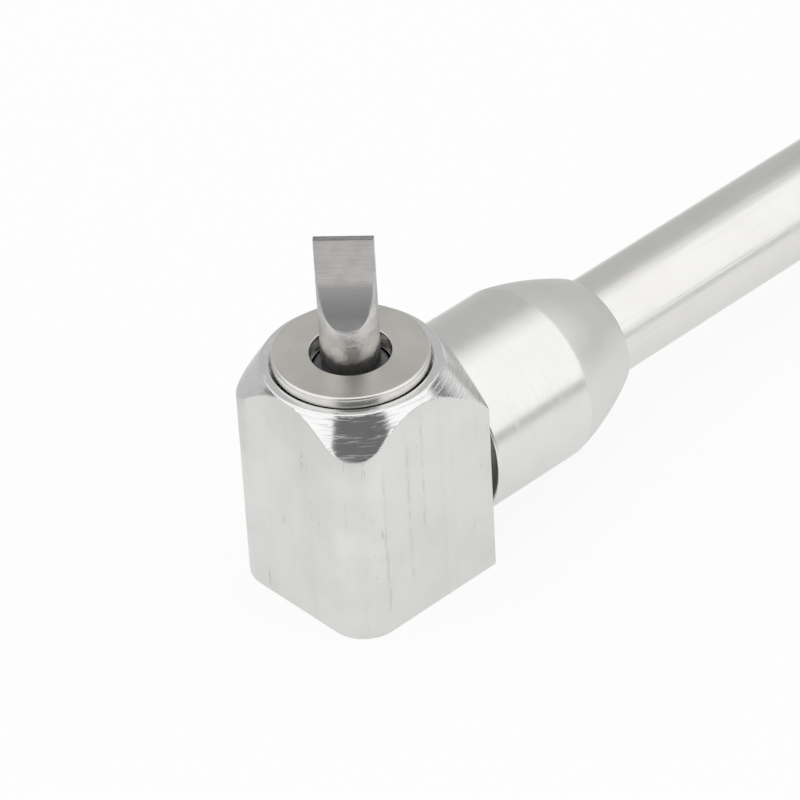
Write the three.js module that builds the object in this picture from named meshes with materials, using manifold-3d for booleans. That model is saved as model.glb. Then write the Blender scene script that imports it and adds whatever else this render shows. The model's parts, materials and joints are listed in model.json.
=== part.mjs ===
// A right-angle carburetor screwdriver. A knob at the far end of a long tube turns a shaft, and a pair of
// mitre gears in the head block turns a flat blade that stands square to the tube.
// Millimetres, +Z up along the blade, +X along the tube, origin under the blade on the head's base.

import * as THREE from "three";
import { mergeVertices } from "three/addons/utils/BufferGeometryUtils.js";
import Module from "manifold-3d";

const wasm = await Module();
wasm.setup();

// Clearances
const faceGap = 0.05; // between faces that are stacked along an axis
const seatFit = 0.05; // radial, between a piece and the bore that it is pressed or screwed into
const runningFit = 0.08; // radial, between a shaft and the bush that it turns in
const gearRoom = 0.4; // between the tips of the gear teeth and the wall of their chamber

// Head block
const headWidth = 19.3; // across the two side faces
const headEndReach = 9.2; // from the blade's axis to the free end face
const headBackReach = 9.5; // from the blade's axis to the face that the collar meets
const headCornerRadius = 4; // the two corners of the free end
const landWidth = 1.15; // flat ring round the cap
const headTaperSlope = 0.65; // growth in radius for each millimetre below the land
const headFloor = 1.4; // metal left under the lower bush
const shaftHeight = 11.4; // axis of the tube above the base

// Cap ring
const capRadius = 7.95;
const capHoleRadius = 4.1;
const capProud = 1.12; // stands above the land
const capSeatDepth = 1.4; // goes down into the block
const capReliefDepth = 0.5; // underside clear of the turning rings
const capEdgeBreak = 0.2;
const capWellGap = 0.15; // visible gap round the cap

// Ball bearing under the cap
const bearingRadius = 7.5;
const bearingWidth = 5;
const ballRadius = 1.3;
const ballCount = 7;
const ballPlay = 0.1; // between a ball and its track or pocket
const trackShoulder = 0.85; // from the balls' pitch circle to the edge of each ring
const cageWall = 1.2;
const cageHeight = 3.5;
const shieldThickness = 0.25;
const shieldInset = 0.15; // below the face of the rings

// Mitre gears, an equal pair
const gearModule = 0.75;
const gearTeeth = 14;
const pressureAngle = THREE.MathUtils.degToRad(20);
const gearFaceWidth = 2.2;
const gearBacklash = 0.09; // taken off each tooth at the pitch line
const gearHubStep = 0.3; // hub below the root of the teeth
const gearHubLength = 2.4;
const addendum = 1; // in modules
const dedendum = 1.25; // in modules
const flankBend = 0.97; // where a flank turns, as a ratio of the pitch radius
const shimThickness = 0.3;
const shimRadius = 4.1;
const crossPinRadius = 0.75;
const crossPinInset = 0.15; // ends of a pin below the hub's surface

// Blade spindle
const spindleRadius = 3;
const journalRadius = 2;
const bladeReach = 13.62; // tip above the cap
const bladeTipThickness = 0.72;
const bladeRootThickness = 2.5; // where the straight flats begin
const bladeFlatLength = 5.3; // straight part of the flats
const bladeRunOutLength = 4.1; // hollow from the flats out to the round shank
const bladeRunOutBend = 2.25; // from the flats to the bend of the hollow
const bladeAngle = THREE.MathUtils.degToRad(-46); // the tip's edge, from +X
const circlipThickness = 0.7;
const circlipRoom = 0.3; // between the ring and the hole of the cap
const circlipGrooveDepth = 0.4;
const circlipMouth = THREE.MathUtils.degToRad(70);
const circlipTurn = THREE.MathUtils.degToRad(49); // middle of the ring's mouth, from +X

// Lower bush in the block
const lowerBushRadius = 3.9;
const lowerBushFlangeRadius = 4.9;
const lowerBushFlange = 0.8;
const lowerBushRoom = 1.5; // from the teeth of the drive gear down to the chamber's floor

// Collar between the block and the tube
const spigotRadius = 7.6;
const spigotReach = 3.1; // into the block
const collarOver = 0.1; // stands past the head's side faces
const collarStandOff = 0.8; // gap between the block and the collar
const collarLength = 13.15; // cylindrical part
const collarTaperLength = 9;
const collarTaperBulge = 0.36; // rise of the taper over a straight line
const collarEndWall = 1; // over the tube
const collarEdgeBreak = 0.3;
const collarEndRound = 0.7;
const frontBushLength = 8.6;
const frontBushRadius = 4;
const bushFlangeRadius = 5.3;
const bushFlange = 1;
const washerThickness = 0.8;
const washerRadius = 4.6;

// Tube and drive shaft
const tubeRadius = 5.5;
const tubeWall = 1.5;
const tubeLength = 243;
const shaftRadius = 2.5; // the spindle's gear seat is the same
const rearBushLength = 12;

// Knob
const knobRadius = 11.3;
const knobLength = 26;
const knobBoreDepth = 20;
const knobFlutes = 24;
const knobFluteDepth = 0.45;
const knobEdge = 1.2; // bevel at each end
const knobBandInset = 3.2; // plain band between the end and the knurl
const knobNeckLength = 2.4; // plain groove in the middle of the knurl
const knobNeckDepth = 0.9;
const knobDishRadius = 7.5;
const knobDishDepth = 0.6;
const setScrewRadius = 2;
const setScrewLength = 6;
const setScrewSocket = 1; // half the width across the socket's flats
const setScrewSocketDepth = 2.2;
const setScrewPlace = 6.6; // from the front of the knob
const shaftFlatDepth = 0.3; // where the set screw bears

// Facets round a full turn
const fineFacets = 48;
const plainFacets = 32;
const innerFacets = 24;
const smallFacets = 16;

// Radii, heights and stations that follow from the sizes above
const landRadius = capRadius + landWidth;
const ballPitchRadius = (spindleRadius + bearingRadius) / 2;
const innerRingRadius = ballPitchRadius - trackShoulder;
const outerRingInside = ballPitchRadius + trackShoulder;
const circlipRadius = capHoleRadius - circlipRoom;
const collarRadius = headWidth / 2 + collarOver;
const collarEndRadius = tubeRadius + collarEndWall;
const pitchRadius = (gearModule * gearTeeth) / 2;
const virtualPitchRadius = pitchRadius * Math.SQRT2;
const tipRatio = 1 + (addendum * gearModule) / virtualPitchRadius;
const rootRatio = 1 - (dedendum * gearModule) / virtualPitchRadius;
const gearTipRadius = pitchRadius * tipRatio;
const gearHubRadius = pitchRadius * rootRatio - gearHubStep;
const gearBack = pitchRadius * (2 - rootRatio);
const gearHubBack = gearBack + gearHubLength;
const gearShrink = 1 - gearFaceWidth / virtualPitchRadius;
const gearFront = gearBack * gearShrink;
const chamberRadius = gearTipRadius + gearRoom;
const chamberFloor = shaftHeight - gearTipRadius - lowerBushRoom;
const spindleShoulder = shaftHeight + gearHubBack + faceGap;
const bearingBottom = spindleShoulder + shimThickness + faceGap;
const bearingTop = bearingBottom + bearingWidth;
const bearingMiddle = bearingBottom + bearingWidth / 2;
const headHeight = bearingTop + capSeatDepth;
const capTop = headHeight + capProud;
const bladeTip = capTop + bladeReach;
const circlipBottom = bearingTop + faceGap;
const spigotFront = headBackReach - spigotReach;
const collarFront = headBackReach + collarStandOff;
const collarTaperStart = collarFront + collarLength;
const collarEnd = collarTaperStart + collarTaperLength;
const washerFront = gearHubBack + faceGap;
const frontFlangeFront = washerFront + washerThickness + faceGap;
const collarWeb = frontFlangeFront + bushFlange + faceGap;
const frontBushEnd = collarWeb + frontBushLength;
const tubeFront = frontBushEnd + faceGap;
const tubeEnd = tubeFront + tubeLength;
const rearFlangeEnd = tubeEnd + faceGap + bushFlange;
const rearWasherFront = rearFlangeEnd + faceGap;
const knobFront = rearWasherFront + washerThickness + faceGap;
const knobEnd = knobFront + knobLength;
const shaftEnd = knobFront + knobBoreDepth - faceGap;
const tubeBore = tubeRadius - tubeWall;

// Finishes
const turnedAluminium = { color: 0xc9cacb, roughness: 0.32, metalness: 1 };
const drawnAluminium = { color: 0xbdbebf, roughness: 0.42, metalness: 1 };
const groundSteel = { color: 0x8b888a, roughness: 0.35, metalness: 1 };
const brightSteel = { color: 0xb4b6b8, roughness: 0.22, metalness: 1 };
const darkSteel = { color: 0x5d5e61, roughness: 0.5, metalness: 1 };
const bronze = { color: 0xa9793f, roughness: 0.45, metalness: 1 };

// Joins and cuts
function solidFrom(geometry) {
  const bare = geometry.clone();
  bare.deleteAttribute("normal");
  bare.deleteAttribute("uv");
  const merged = mergeVertices(bare, 1e-4);
  return new wasm.Manifold(
    new wasm.Mesh({
      numProp: 3,
      vertProperties: merged.attributes.position.array,
      triVerts: new Uint32Array(merged.index.array),
    }),
  );
}

function geometryFrom(solid) {
  const mesh = solid.getMesh();
  const geometry = new THREE.BufferGeometry();
  geometry.setAttribute("position", new THREE.BufferAttribute(mesh.vertProperties, 3));
  geometry.setIndex(new THREE.BufferAttribute(mesh.triVerts, 1));
  return geometry;
}

function cut(geometry, ...tools) {
  const solid = tools.reduce((left, tool) => left.subtract(solidFrom(tool)), solidFrom(geometry));
  return geometryFrom(solid);
}

function common(first, second) {
  return geometryFrom(solidFrom(first).intersect(solidFrom(second)));
}

// A turned piece about Z, from an outline of [radius, height] that runs up its outside
function turned(outline, facets = plainFacets) {
  const points = outline.map(([radius, height]) => new THREE.Vector2(radius, height));
  return new THREE.LatheGeometry(points, facets).rotateX(Math.PI / 2);
}

function turnedRing(outline, facets = plainFacets) {
  return turned([...outline, outline[0]], facets);
}

function sleeve(inside, outside, bottom, top, facets = plainFacets) {
  return turnedRing(
    [
      [inside, bottom],
      [outside, bottom],
      [outside, top],
      [inside, top],
    ],
    facets,
  );
}

function rod(radius, bottom, top, facets = plainFacets) {
  return turned(
    [
      [0, bottom],
      [radius, bottom],
      [radius, top],
      [0, top],
    ],
    facets,
  );
}

// Points [radius, height] on a quarter or other arc of an outline
function arcPoints(centreRadius, centreHeight, radius, from, to, steps) {
  return Array.from({ length: steps + 1 }, (_, step) => {
    const angle = THREE.MathUtils.degToRad(from + ((to - from) * step) / steps);
    return [centreRadius + radius * Math.cos(angle), centreHeight + radius * Math.sin(angle)];
  });
}

// A skin over loops of points. The loops close into a ring, or end in two poles.
function skinned(loops, poles = null) {
  const count = loops[0].length;
  const positions = loops.flat().flatMap((point) => [point.x, point.y, point.z]);
  const faces = [];
  const spans = poles ? loops.length - 1 : loops.length;
  for (let span = 0; span < spans; span += 1) {
    const lower = span * count;
    const upper = ((span + 1) % loops.length) * count;
    for (let place = 0; place < count; place += 1) {
      const next = (place + 1) % count;
      faces.push(lower + place, lower + next, upper + next);
      faces.push(lower + place, upper + next, upper + place);
    }
  }
  if (poles) {
    const first = positions.length / 3;
    poles.forEach((pole) => positions.push(pole.x, pole.y, pole.z));
    const lastLoop = (loops.length - 1) * count;
    for (let place = 0; place < count; place += 1) {
      const next = (place + 1) % count;
      faces.push(first, next, place);
      faces.push(first + 1, lastLoop + place, lastLoop + next);
    }
  }
  const geometry = new THREE.BufferGeometry();
  geometry.setAttribute("position", new THREE.Float32BufferAttribute(positions, 3));
  geometry.setIndex(faces);
  return geometry;
}

// Head block: its plan is pulled up, turned to a taper round the top and bored
function headPlan() {
  const side = headWidth / 2;
  const plan = new THREE.Shape();
  plan.moveTo(headBackReach, -side);
  plan.lineTo(headBackReach, side);
  plan.lineTo(-headEndReach + headCornerRadius, side);
  plan.absarc(
    -headEndReach + headCornerRadius,
    side - headCornerRadius,
    headCornerRadius,
    Math.PI / 2,
    Math.PI,
  );
  plan.lineTo(-headEndReach, -side + headCornerRadius);
  plan.absarc(
    -headEndReach + headCornerRadius,
    -side + headCornerRadius,
    headCornerRadius,
    Math.PI,
    Math.PI * 1.5,
  );
  plan.closePath();
  return plan;
}

function headHousing() {
  const block = new THREE.ExtrudeGeometry(headPlan(), {
    depth: headHeight,
    bevelEnabled: false,
    curveSegments: 10,
  });
  const widest = Math.hypot(Math.max(headEndReach, headBackReach), headWidth / 2) + 1;
  const taperDepth = (widest - landRadius) / headTaperSlope;
  const envelope = turned(
    [
      [0, -1],
      [widest, -1],
      [widest, headHeight - taperDepth],
      [landRadius, headHeight],
      [0, headHeight],
    ],
    fineFacets,
  );
  const wellRadius = capRadius + capWellGap;
  const spindleBore = turned([
    [0, headFloor],
    [lowerBushRadius + seatFit, headFloor],
    [lowerBushRadius + seatFit, chamberFloor],
    [chamberRadius, chamberFloor],
    [chamberRadius, bearingBottom],
    [bearingRadius + seatFit, bearingBottom],
    [bearingRadius + seatFit, bearingTop],
    [wellRadius, bearingTop],
    [wellRadius, headHeight + 1],
    [0, headHeight + 1],
  ]);
  const shaftBore = alongShaft(
    turned([
      [0, 0],
      [chamberRadius, 0],
      [chamberRadius, spigotFront],
      [spigotRadius + seatFit, spigotFront],
      [spigotRadius + seatFit, headBackReach + 1],
      [0, headBackReach + 1],
    ]),
  );
  return cut(common(block, envelope), spindleBore, shaftBore);
}

// Turns a shape made about Z so that it lies along the tube's axis
function alongShaft(geometry) {
  return geometry.rotateY(Math.PI / 2).translate(0, 0, shaftHeight);
}

function capRing() {
  const bottom = bearingTop + faceGap;
  const reliefRadius = outerRingInside;
  return turnedRing(
    [
      [reliefRadius, bottom],
      [capRadius, bottom],
      [capRadius, capTop - capEdgeBreak],
      [capRadius - capEdgeBreak, capTop],
      [capHoleRadius, capTop],
      [capHoleRadius, bottom + capReliefDepth],
      [reliefRadius, bottom + capReliefDepth],
    ],
    fineFacets,
  );
}

// Ball bearing
function trackArc(side) {
  const trackRadius = ballRadius + ballPlay;
  const shoulder = side === "inner" ? innerRingRadius : outerRingInside;
  const half = THREE.MathUtils.radToDeg(Math.acos(Math.abs(ballPitchRadius - shoulder) / trackRadius));
  const middle = side === "inner" ? 180 : 0;
  const turn = side === "inner" ? -half : half;
  return arcPoints(ballPitchRadius, bearingMiddle, trackRadius, middle - turn, middle + turn, 4);
}

function bearingInnerRing() {
  const bore = spindleRadius + seatFit;
  return turnedRing([
    [bore, bearingBottom],
    [innerRingRadius, bearingBottom],
    ...trackArc("inner"),
    [innerRingRadius, bearingTop],
    [bore, bearingTop],
  ]);
}

function bearingOuterRing() {
  return turnedRing([
    [outerRingInside, bearingBottom],
    [bearingRadius, bearingBottom],
    [bearingRadius, bearingTop],
    [outerRingInside, bearingTop],
    ...trackArc("outer").reverse(),
  ]);
}

function ballCentre(number) {
  const angle = (number / ballCount) * Math.PI * 2;
  return new THREE.Vector3(
    ballPitchRadius * Math.cos(angle),
    ballPitchRadius * Math.sin(angle),
    bearingMiddle,
  );
}

function ballShape(number, radius) {
  const centre = ballCentre(number);
  return new THREE.SphereGeometry(radius, 10, 7).rotateX(Math.PI / 2).translate(...centre);
}

function bearingCage() {
  const ring = sleeve(
    ballPitchRadius - cageWall / 2,
    ballPitchRadius + cageWall / 2,
    bearingMiddle - cageHeight / 2,
    bearingMiddle + cageHeight / 2,
    innerFacets,
  );
  const pocketRadius = ballRadius + ballPlay;
  const pockets = Array.from({ length: ballCount }, (_, number) => {
    const pocket = new THREE.CylinderGeometry(pocketRadius, pocketRadius, cageWall * 3, 12);
    return pocket
      .rotateZ(Math.PI / 2)
      .translate(ballPitchRadius, 0, bearingMiddle)
      .rotateZ((number / ballCount) * Math.PI * 2);
  });
  return cut(ring, ...pockets);
}

function bearingShield(bottom) {
  return sleeve(
    innerRingRadius + runningFit,
    outerRingInside - seatFit,
    bottom,
    bottom + shieldThickness,
    innerFacets,
  );
}

// Mitre gear about Z with its apex at the origin. The teeth follow an involute on the back cone.
function toothHalfAngle(ratio) {
  const base = Math.cos(pressureAngle);
  const involute = (angle) => Math.tan(angle) - angle;
  const rolled = Math.acos(Math.min(1, base / Math.max(ratio, base)));
  const thickness = (gearModule * Math.PI) / 2 - gearBacklash;
  const atPitch = thickness / (2 * virtualPitchRadius);
  return (atPitch + involute(pressureAngle) - involute(rolled)) * Math.SQRT2;
}

function toothLoop(shrink, turn) {
  const ratios = [rootRatio, flankBend, tipRatio];
  const flank = ratios.map((ratio) => [ratio, toothHalfAngle(ratio)]);
  const tooth = [...flank.map(([ratio, angle]) => [ratio, -angle]), ...flank.reverse()];
  const loop = [];
  for (let number = 0; number < gearTeeth; number += 1) {
    const centre = turn + (number / gearTeeth) * Math.PI * 2;
    tooth.forEach(([ratio, angle]) => {
      const radius = pitchRadius * ratio * shrink;
      const height = pitchRadius * (2 - ratio) * shrink;
      loop.push(
        new THREE.Vector3(
          radius * Math.cos(centre + angle),
          radius * Math.sin(centre + angle),
          height,
        ),
      );
    });
  }
  return loop;
}

// The same directions as a loop, drawn to one radius and height
function roundLoop(loop, radius, height) {
  return loop.map((point) => {
    const angle = Math.atan2(point.y, point.x);
    return new THREE.Vector3(radius * Math.cos(angle), radius * Math.sin(angle), height);
  });
}

function mitreGear(turn) {
  const back = toothLoop(1, turn);
  const front = toothLoop(gearShrink, turn);
  const bore = shaftRadius + seatFit;
  const gear = skinned([
    roundLoop(front, bore, gearFront),
    front,
    back,
    roundLoop(back, gearHubRadius, gearBack),
    roundLoop(back, gearHubRadius, gearHubBack),
    roundLoop(back, bore, gearHubBack),
  ]);
  return cut(gear, crossPinShape(crossPinRadius + seatFit, gearHubRadius + 1));
}

// A pin square to the gear's axis, through the middle of its hub
function crossPinShape(radius, halfLength) {
  const pin = new THREE.CylinderGeometry(radius, radius, halfLength * 2, smallFacets);
  return pin.translate(0, 0, gearBack + gearHubLength / 2);
}

function crossPin() {
  return crossPinShape(crossPinRadius, gearHubRadius - crossPinInset);
}

// Blade spindle: a stepped round spindle whose top is ground flat from both sides
function spindleBlank() {
  const grooveRadius = spindleRadius - circlipGrooveDepth;
  const grooveTop = circlipBottom + circlipThickness + faceGap;
  return turned([
    [0, headFloor + faceGap * 2],
    [journalRadius, headFloor + faceGap * 2],
    [journalRadius, shaftHeight + gearFront],
    [shaftRadius, shaftHeight + gearFront],
    [shaftRadius, spindleShoulder],
    [spindleRadius, spindleShoulder],
    [spindleRadius, circlipBottom - faceGap],
    [grooveRadius, circlipBottom - faceGap],
    [grooveRadius, grooveTop],
    [spindleRadius, grooveTop],
    [spindleRadius, bladeTip],
    [0, bladeTip],
  ]);
}

// What the grinder takes off one side of the blade, drawn in a plane across the tip's edge
function bladeCutter() {
  const flatStart = bladeTip - bladeFlatLength;
  const runOutStart = flatStart - bladeRunOutLength;
  const outside = spindleRadius + 1;
  const taper = (bladeRootThickness - bladeTipThickness) / 2 / bladeFlatLength;
  const bend = flatStart - bladeRunOutBend;
  const side = new THREE.Shape();
  side.moveTo(spindleRadius, runOutStart);
  side.quadraticCurveTo(
    bladeRootThickness / 2 + taper * bladeRunOutBend,
    bend,
    bladeRootThickness / 2,
    flatStart,
  );
  side.lineTo(bladeTipThickness / 2 - taper, bladeTip + 1);
  side.lineTo(outside, bladeTip + 1);
  side.lineTo(outside, runOutStart);
  side.closePath();
  const wide = spindleRadius * 2 + 2;
  const cutter = new THREE.ExtrudeGeometry(side, { depth: wide, bevelEnabled: false, curveSegments: 8 });
  return cutter.translate(0, 0, -wide / 2).rotateX(Math.PI / 2);
}

function bladeSpindle() {
  const facing = bladeAngle + Math.PI / 2;
  const cutters = [facing, facing + Math.PI].map((angle) => bladeCutter().rotateZ(angle));
  const pinHole = crossPinShape(crossPinRadius + seatFit, gearHubRadius).translate(0, 0, shaftHeight);
  return cut(spindleBlank(), ...cutters, pinHole);
}

function spindleCirclip() {
  const inside = spindleRadius - circlipGrooveDepth + seatFit;
  const start = circlipMouth / 2;
  const end = Math.PI * 2 - circlipMouth / 2;
  const ring = new THREE.Shape();
  ring.absarc(0, 0, circlipRadius, start, end, false);
  ring.absarc(0, 0, inside, end, start, true);
  ring.closePath();
  const clip = new THREE.ExtrudeGeometry(ring, {
    depth: circlipThickness,
    bevelEnabled: false,
    curveSegments: innerFacets,
  });
  return clip.rotateZ(circlipTurn).translate(0, 0, circlipBottom);
}

function spindleShim() {
  const top = spindleShoulder + shimThickness;
  return sleeve(spindleRadius + seatFit, shimRadius, spindleShoulder, top, innerFacets);
}

function lowerBush() {
  const bore = journalRadius + runningFit;
  const flangeBottom = chamberFloor + faceGap;
  return turnedRing(
    [
      [bore, headFloor + faceGap],
      [lowerBushRadius, headFloor + faceGap],
      [lowerBushRadius, flangeBottom],
      [lowerBushFlangeRadius, flangeBottom],
      [lowerBushFlangeRadius, flangeBottom + lowerBushFlange],
      [bore, flangeBottom + lowerBushFlange],
    ],
    innerFacets,
  );
}

// Pieces along the tube. Heights in these outlines are distances from the blade's axis.
function collarTaper(part) {
  const straight = collarRadius + (collarEndRadius - collarRadius) * part;
  const radius = straight + 4 * collarTaperBulge * part * (1 - part);
  return [radius, collarTaperStart + collarTaperLength * part];
}

function collar() {
  const fall = collarRadius - collarEndRadius + 4 * collarTaperBulge;
  const flank = Math.atan2(fall, collarTaperLength);
  const flankDegrees = THREE.MathUtils.radToDeg(flank);
  const roundCentre = collarEndRadius + collarEndRound * (Math.tan(flank) - 1 / Math.cos(flank));
  return turnedRing(
    [
      [chamberRadius, spigotFront + faceGap],
      [spigotRadius, spigotFront + faceGap],
      [spigotRadius, collarFront],
      [collarRadius - collarEdgeBreak, collarFront],
      [collarRadius, collarFront + collarEdgeBreak],
      ...[0, 0.25, 0.5, 0.75].map(collarTaper),
      ...arcPoints(roundCentre, collarEnd - collarEndRound, collarEndRound, flankDegrees, 90, 3),
      [tubeRadius + seatFit, collarEnd],
      [tubeRadius + seatFit, frontBushEnd],
      [frontBushRadius + seatFit, frontBushEnd],
      [frontBushRadius + seatFit, collarWeb],
      [chamberRadius, collarWeb],
    ],
    fineFacets,
  );
}

function frontShaftBush() {
  const bore = shaftRadius + runningFit;
  return turnedRing(
    [
      [bore, frontFlangeFront],
      [bushFlangeRadius, frontFlangeFront],
      [bushFlangeRadius, collarWeb - faceGap],
      [frontBushRadius, collarWeb - faceGap],
      [frontBushRadius, frontBushEnd],
      [bore, frontBushEnd],
    ],
    innerFacets,
  );
}

function rearShaftBush() {
  const bore = shaftRadius + runningFit;
  const body = tubeBore - seatFit;
  return turnedRing(
    [
      [bore, tubeEnd - rearBushLength],
      [body, tubeEnd - rearBushLength],
      [body, tubeEnd + faceGap],
      [bushFlangeRadius, tubeEnd + faceGap],
      [bushFlangeRadius, rearFlangeEnd],
      [bore, rearFlangeEnd],
    ],
    innerFacets,
  );
}

function outerTube() {
  return sleeve(tubeBore, tubeRadius, tubeFront, tubeEnd, fineFacets);
}

function thrustWasher(front) {
  return sleeve(shaftRadius + seatFit, washerRadius, front, front + washerThickness, innerFacets);
}

function driveShaft() {
  const body = rod(shaftRadius, gearFront, shaftEnd);
  const pinHole = crossPinShape(crossPinRadius + seatFit, gearHubRadius);
  const flat = new THREE.BoxGeometry(2, shaftRadius * 2, setScrewRadius * 3);
  flat.translate(shaftRadius - shaftFlatDepth + 1, 0, knobFront + setScrewPlace);
  return cut(body, pinHole, flat);
}

// Knob: loops round its axis, knurled where the fingers hold it
function knobLoop(radius, station, fluteDepth = 0) {
  const points = [];
  const steps = [
    [0, 0],
    [0.45, 0],
    [0.725, 1],
  ];
  for (let number = 0; number < knobFlutes; number += 1) {
    steps.forEach(([part, depth]) => {
      const angle = ((number + part) / knobFlutes) * Math.PI * 2;
      const reach = radius - fluteDepth * depth;
      points.push(new THREE.Vector3(reach * Math.cos(angle), reach * Math.sin(angle), station));
    });
  }
  return points;
}

function knob() {
  const bore = shaftRadius + seatFit;
  const boreEnd = knobFront + knobBoreDepth;
  const band = knobRadius - knobFluteDepth;
  const neck = knobRadius - knobNeckDepth;
  const middle = (knobFront + knobEnd) / 2;
  const knurlStart = knobFront + knobBandInset;
  const knurlEnd = knobEnd - knobBandInset;
  const neckStart = middle - knobNeckLength / 2;
  const neckEnd = middle + knobNeckLength / 2;
  const loops = [
    knobLoop(bore, boreEnd),
    knobLoop(bore, knobFront),
    knobLoop(band - knobEdge, knobFront),
    knobLoop(band, knobFront + knobEdge),
    knobLoop(band, knurlStart),
    knobLoop(knobRadius, knurlStart, knobFluteDepth),
    knobLoop(knobRadius, neckStart, knobFluteDepth),
    knobLoop(neck, neckStart),
    knobLoop(neck, neckEnd),
    knobLoop(knobRadius, neckEnd, knobFluteDepth),
    knobLoop(knobRadius, knurlEnd, knobFluteDepth),
    knobLoop(band, knurlEnd),
    knobLoop(band, knobEnd - knobEdge),
    knobLoop(band - knobEdge, knobEnd),
    knobLoop(knobDishRadius, knobEnd),
    knobLoop(knobDishRadius - knobDishDepth, knobEnd - knobDishDepth),
  ];
  const poles = [
    new THREE.Vector3(0, 0, boreEnd),
    new THREE.Vector3(0, 0, knobEnd - knobDishDepth),
  ];
  return cut(skinned(loops, poles), setScrewBlank(setScrewRadius + seatFit, knobRadius));
}

// A rod that runs out from the knob's axis where the set screw goes
function setScrewBlank(radius, length) {
  const blank = rod(radius, 0, length, smallFacets).rotateY(Math.PI / 2);
  return blank.translate(shaftRadius - shaftFlatDepth + faceGap, 0, knobFront + setScrewPlace);
}

function knobSetScrew() {
  const across = setScrewSocket / Math.cos(Math.PI / 6);
  const socket = new THREE.CylinderGeometry(across, across, setScrewSocketDepth * 2, 6);
  socket.rotateZ(Math.PI / 2);
  socket.translate(
    shaftRadius - shaftFlatDepth + faceGap + setScrewLength,
    0,
    knobFront + setScrewPlace,
  );
  return cut(setScrewBlank(setScrewRadius, setScrewLength), socket);
}

// Assembly
const tool = new THREE.Group();

function place(name, geometry, finish, parent = tool) {
  geometry.computeVertexNormals();
  const mesh = new THREE.Mesh(geometry, new THREE.MeshStandardMaterial(finish));
  mesh.name = name;
  parent.add(mesh);
}

place("head_housing", headHousing(), drawnAluminium);
place("cap_ring", capRing(), turnedAluminium);
place("blade_spindle", bladeSpindle(), groundSteel);
place("spindle_circlip", spindleCirclip(), darkSteel);
place("bearing_inner_ring", bearingInnerRing(), brightSteel);
place("bearing_outer_ring", bearingOuterRing(), brightSteel);
place("bearing_cage", bearingCage(), darkSteel);
for (let number = 0; number < ballCount; number += 1) {
  place(`bearing_ball_${number + 1}`, ballShape(number, ballRadius), brightSteel);
}
place("bearing_shield_upper", bearingShield(bearingTop - shieldInset - shieldThickness), brightSteel);
place("bearing_shield_lower", bearingShield(bearingBottom + shieldInset), brightSteel);
place("lower_bush", lowerBush(), bronze);
place("spindle_shim", spindleShim(), brightSteel);

const spindleGear = new THREE.Group();
spindleGear.position.z = shaftHeight;
tool.add(spindleGear);
place("driven_gear", mitreGear(0), groundSteel, spindleGear);
place("driven_gear_pin", crossPin(), darkSteel, spindleGear);

const shaftLine = new THREE.Group();
shaftLine.rotation.y = Math.PI / 2;
shaftLine.position.z = shaftHeight;
tool.add(shaftLine);
place("drive_gear", mitreGear(Math.PI + Math.PI / gearTeeth), groundSteel, shaftLine);
place("drive_gear_pin", crossPin(), darkSteel, shaftLine);
place("front_thrust_washer", thrustWasher(washerFront), brightSteel, shaftLine);
place("front_shaft_bush", frontShaftBush(), bronze, shaftLine);
place("collar", collar(), turnedAluminium, shaftLine);
place("outer_tube", outerTube(), drawnAluminium, shaftLine);
place("drive_shaft", driveShaft(), brightSteel, shaftLine);
place("rear_shaft_bush", rearShaftBush(), bronze, shaftLine);
place("rear_thrust_washer", thrustWasher(rearWasherFront), brightSteel, shaftLine);
place("knob", knob(), turnedAluminium, shaftLine);
place("knob_set_screw", knobSetScrew(), darkSteel, shaftLine);

export default tool;
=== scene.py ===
import json
import math

import bmesh
import bpy
import numpy as np
from mathutils import Matrix, Vector


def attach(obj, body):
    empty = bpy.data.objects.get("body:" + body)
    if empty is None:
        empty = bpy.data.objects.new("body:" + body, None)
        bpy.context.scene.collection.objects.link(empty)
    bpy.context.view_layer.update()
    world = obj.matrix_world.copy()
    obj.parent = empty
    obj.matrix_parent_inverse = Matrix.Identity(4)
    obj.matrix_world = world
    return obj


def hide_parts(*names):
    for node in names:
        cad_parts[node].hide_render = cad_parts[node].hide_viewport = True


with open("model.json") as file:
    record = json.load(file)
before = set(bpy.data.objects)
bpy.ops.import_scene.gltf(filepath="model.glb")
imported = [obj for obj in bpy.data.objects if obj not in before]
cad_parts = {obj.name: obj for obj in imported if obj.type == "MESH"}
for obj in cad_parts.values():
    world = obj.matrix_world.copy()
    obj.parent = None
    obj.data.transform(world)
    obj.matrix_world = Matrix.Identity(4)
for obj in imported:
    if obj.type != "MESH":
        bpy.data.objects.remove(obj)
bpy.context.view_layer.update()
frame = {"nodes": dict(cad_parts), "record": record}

MM = 0.001

# Sizes in millimetres, the same as in the part's source.
SHAFT_HEIGHT = 11.4
HEAD_HALF_WIDTH = 9.65
HEAD_END = 9.2
HEAD_BACK = 9.5
HEAD_CORNER = 4.0
HEAD_BACK_EDGE = 0.35
HEAD_BASE_EDGE = 0.25
HEAD_HEIGHT = 26.5129
HEAD_FLOOR = 1.4
TAPER_SLOPE = 0.65
LAND_RADIUS = 9.1
WELL_RADIUS = 8.1
CHAMBER_RADIUS = 6.1803
CHAMBER_FLOOR = 4.1197
LOWER_BUSH_SEAT = 3.95
BEARING_BOTTOM = 20.1129
BEARING_TOP = 25.1129
BEARING_SEAT = 7.55
SPIGOT_SEAT = 7.65
SPIGOT_SEAT_START = 6.4
TAPER_EDGE = 0.1
WALL_STEPS = 12
TAPER_STEPS = 8
LAND_EDGE = 0.08
WELL_EDGE = 0.12
BORE_RUN_OUT = 0.2
BORE_COUNTERSINK = 0.4
CROSS_BORE_REACH = 6.0

CAP_RADIUS = 7.95
CAP_HOLE = 4.1
CAP_BOTTOM = 25.1629
CAP_TOP = 27.6329
CAP_RELIEF = 6.1
CAP_RELIEF_DEPTH = 0.5
CAP_RIM_ROUND = 0.3

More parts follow.
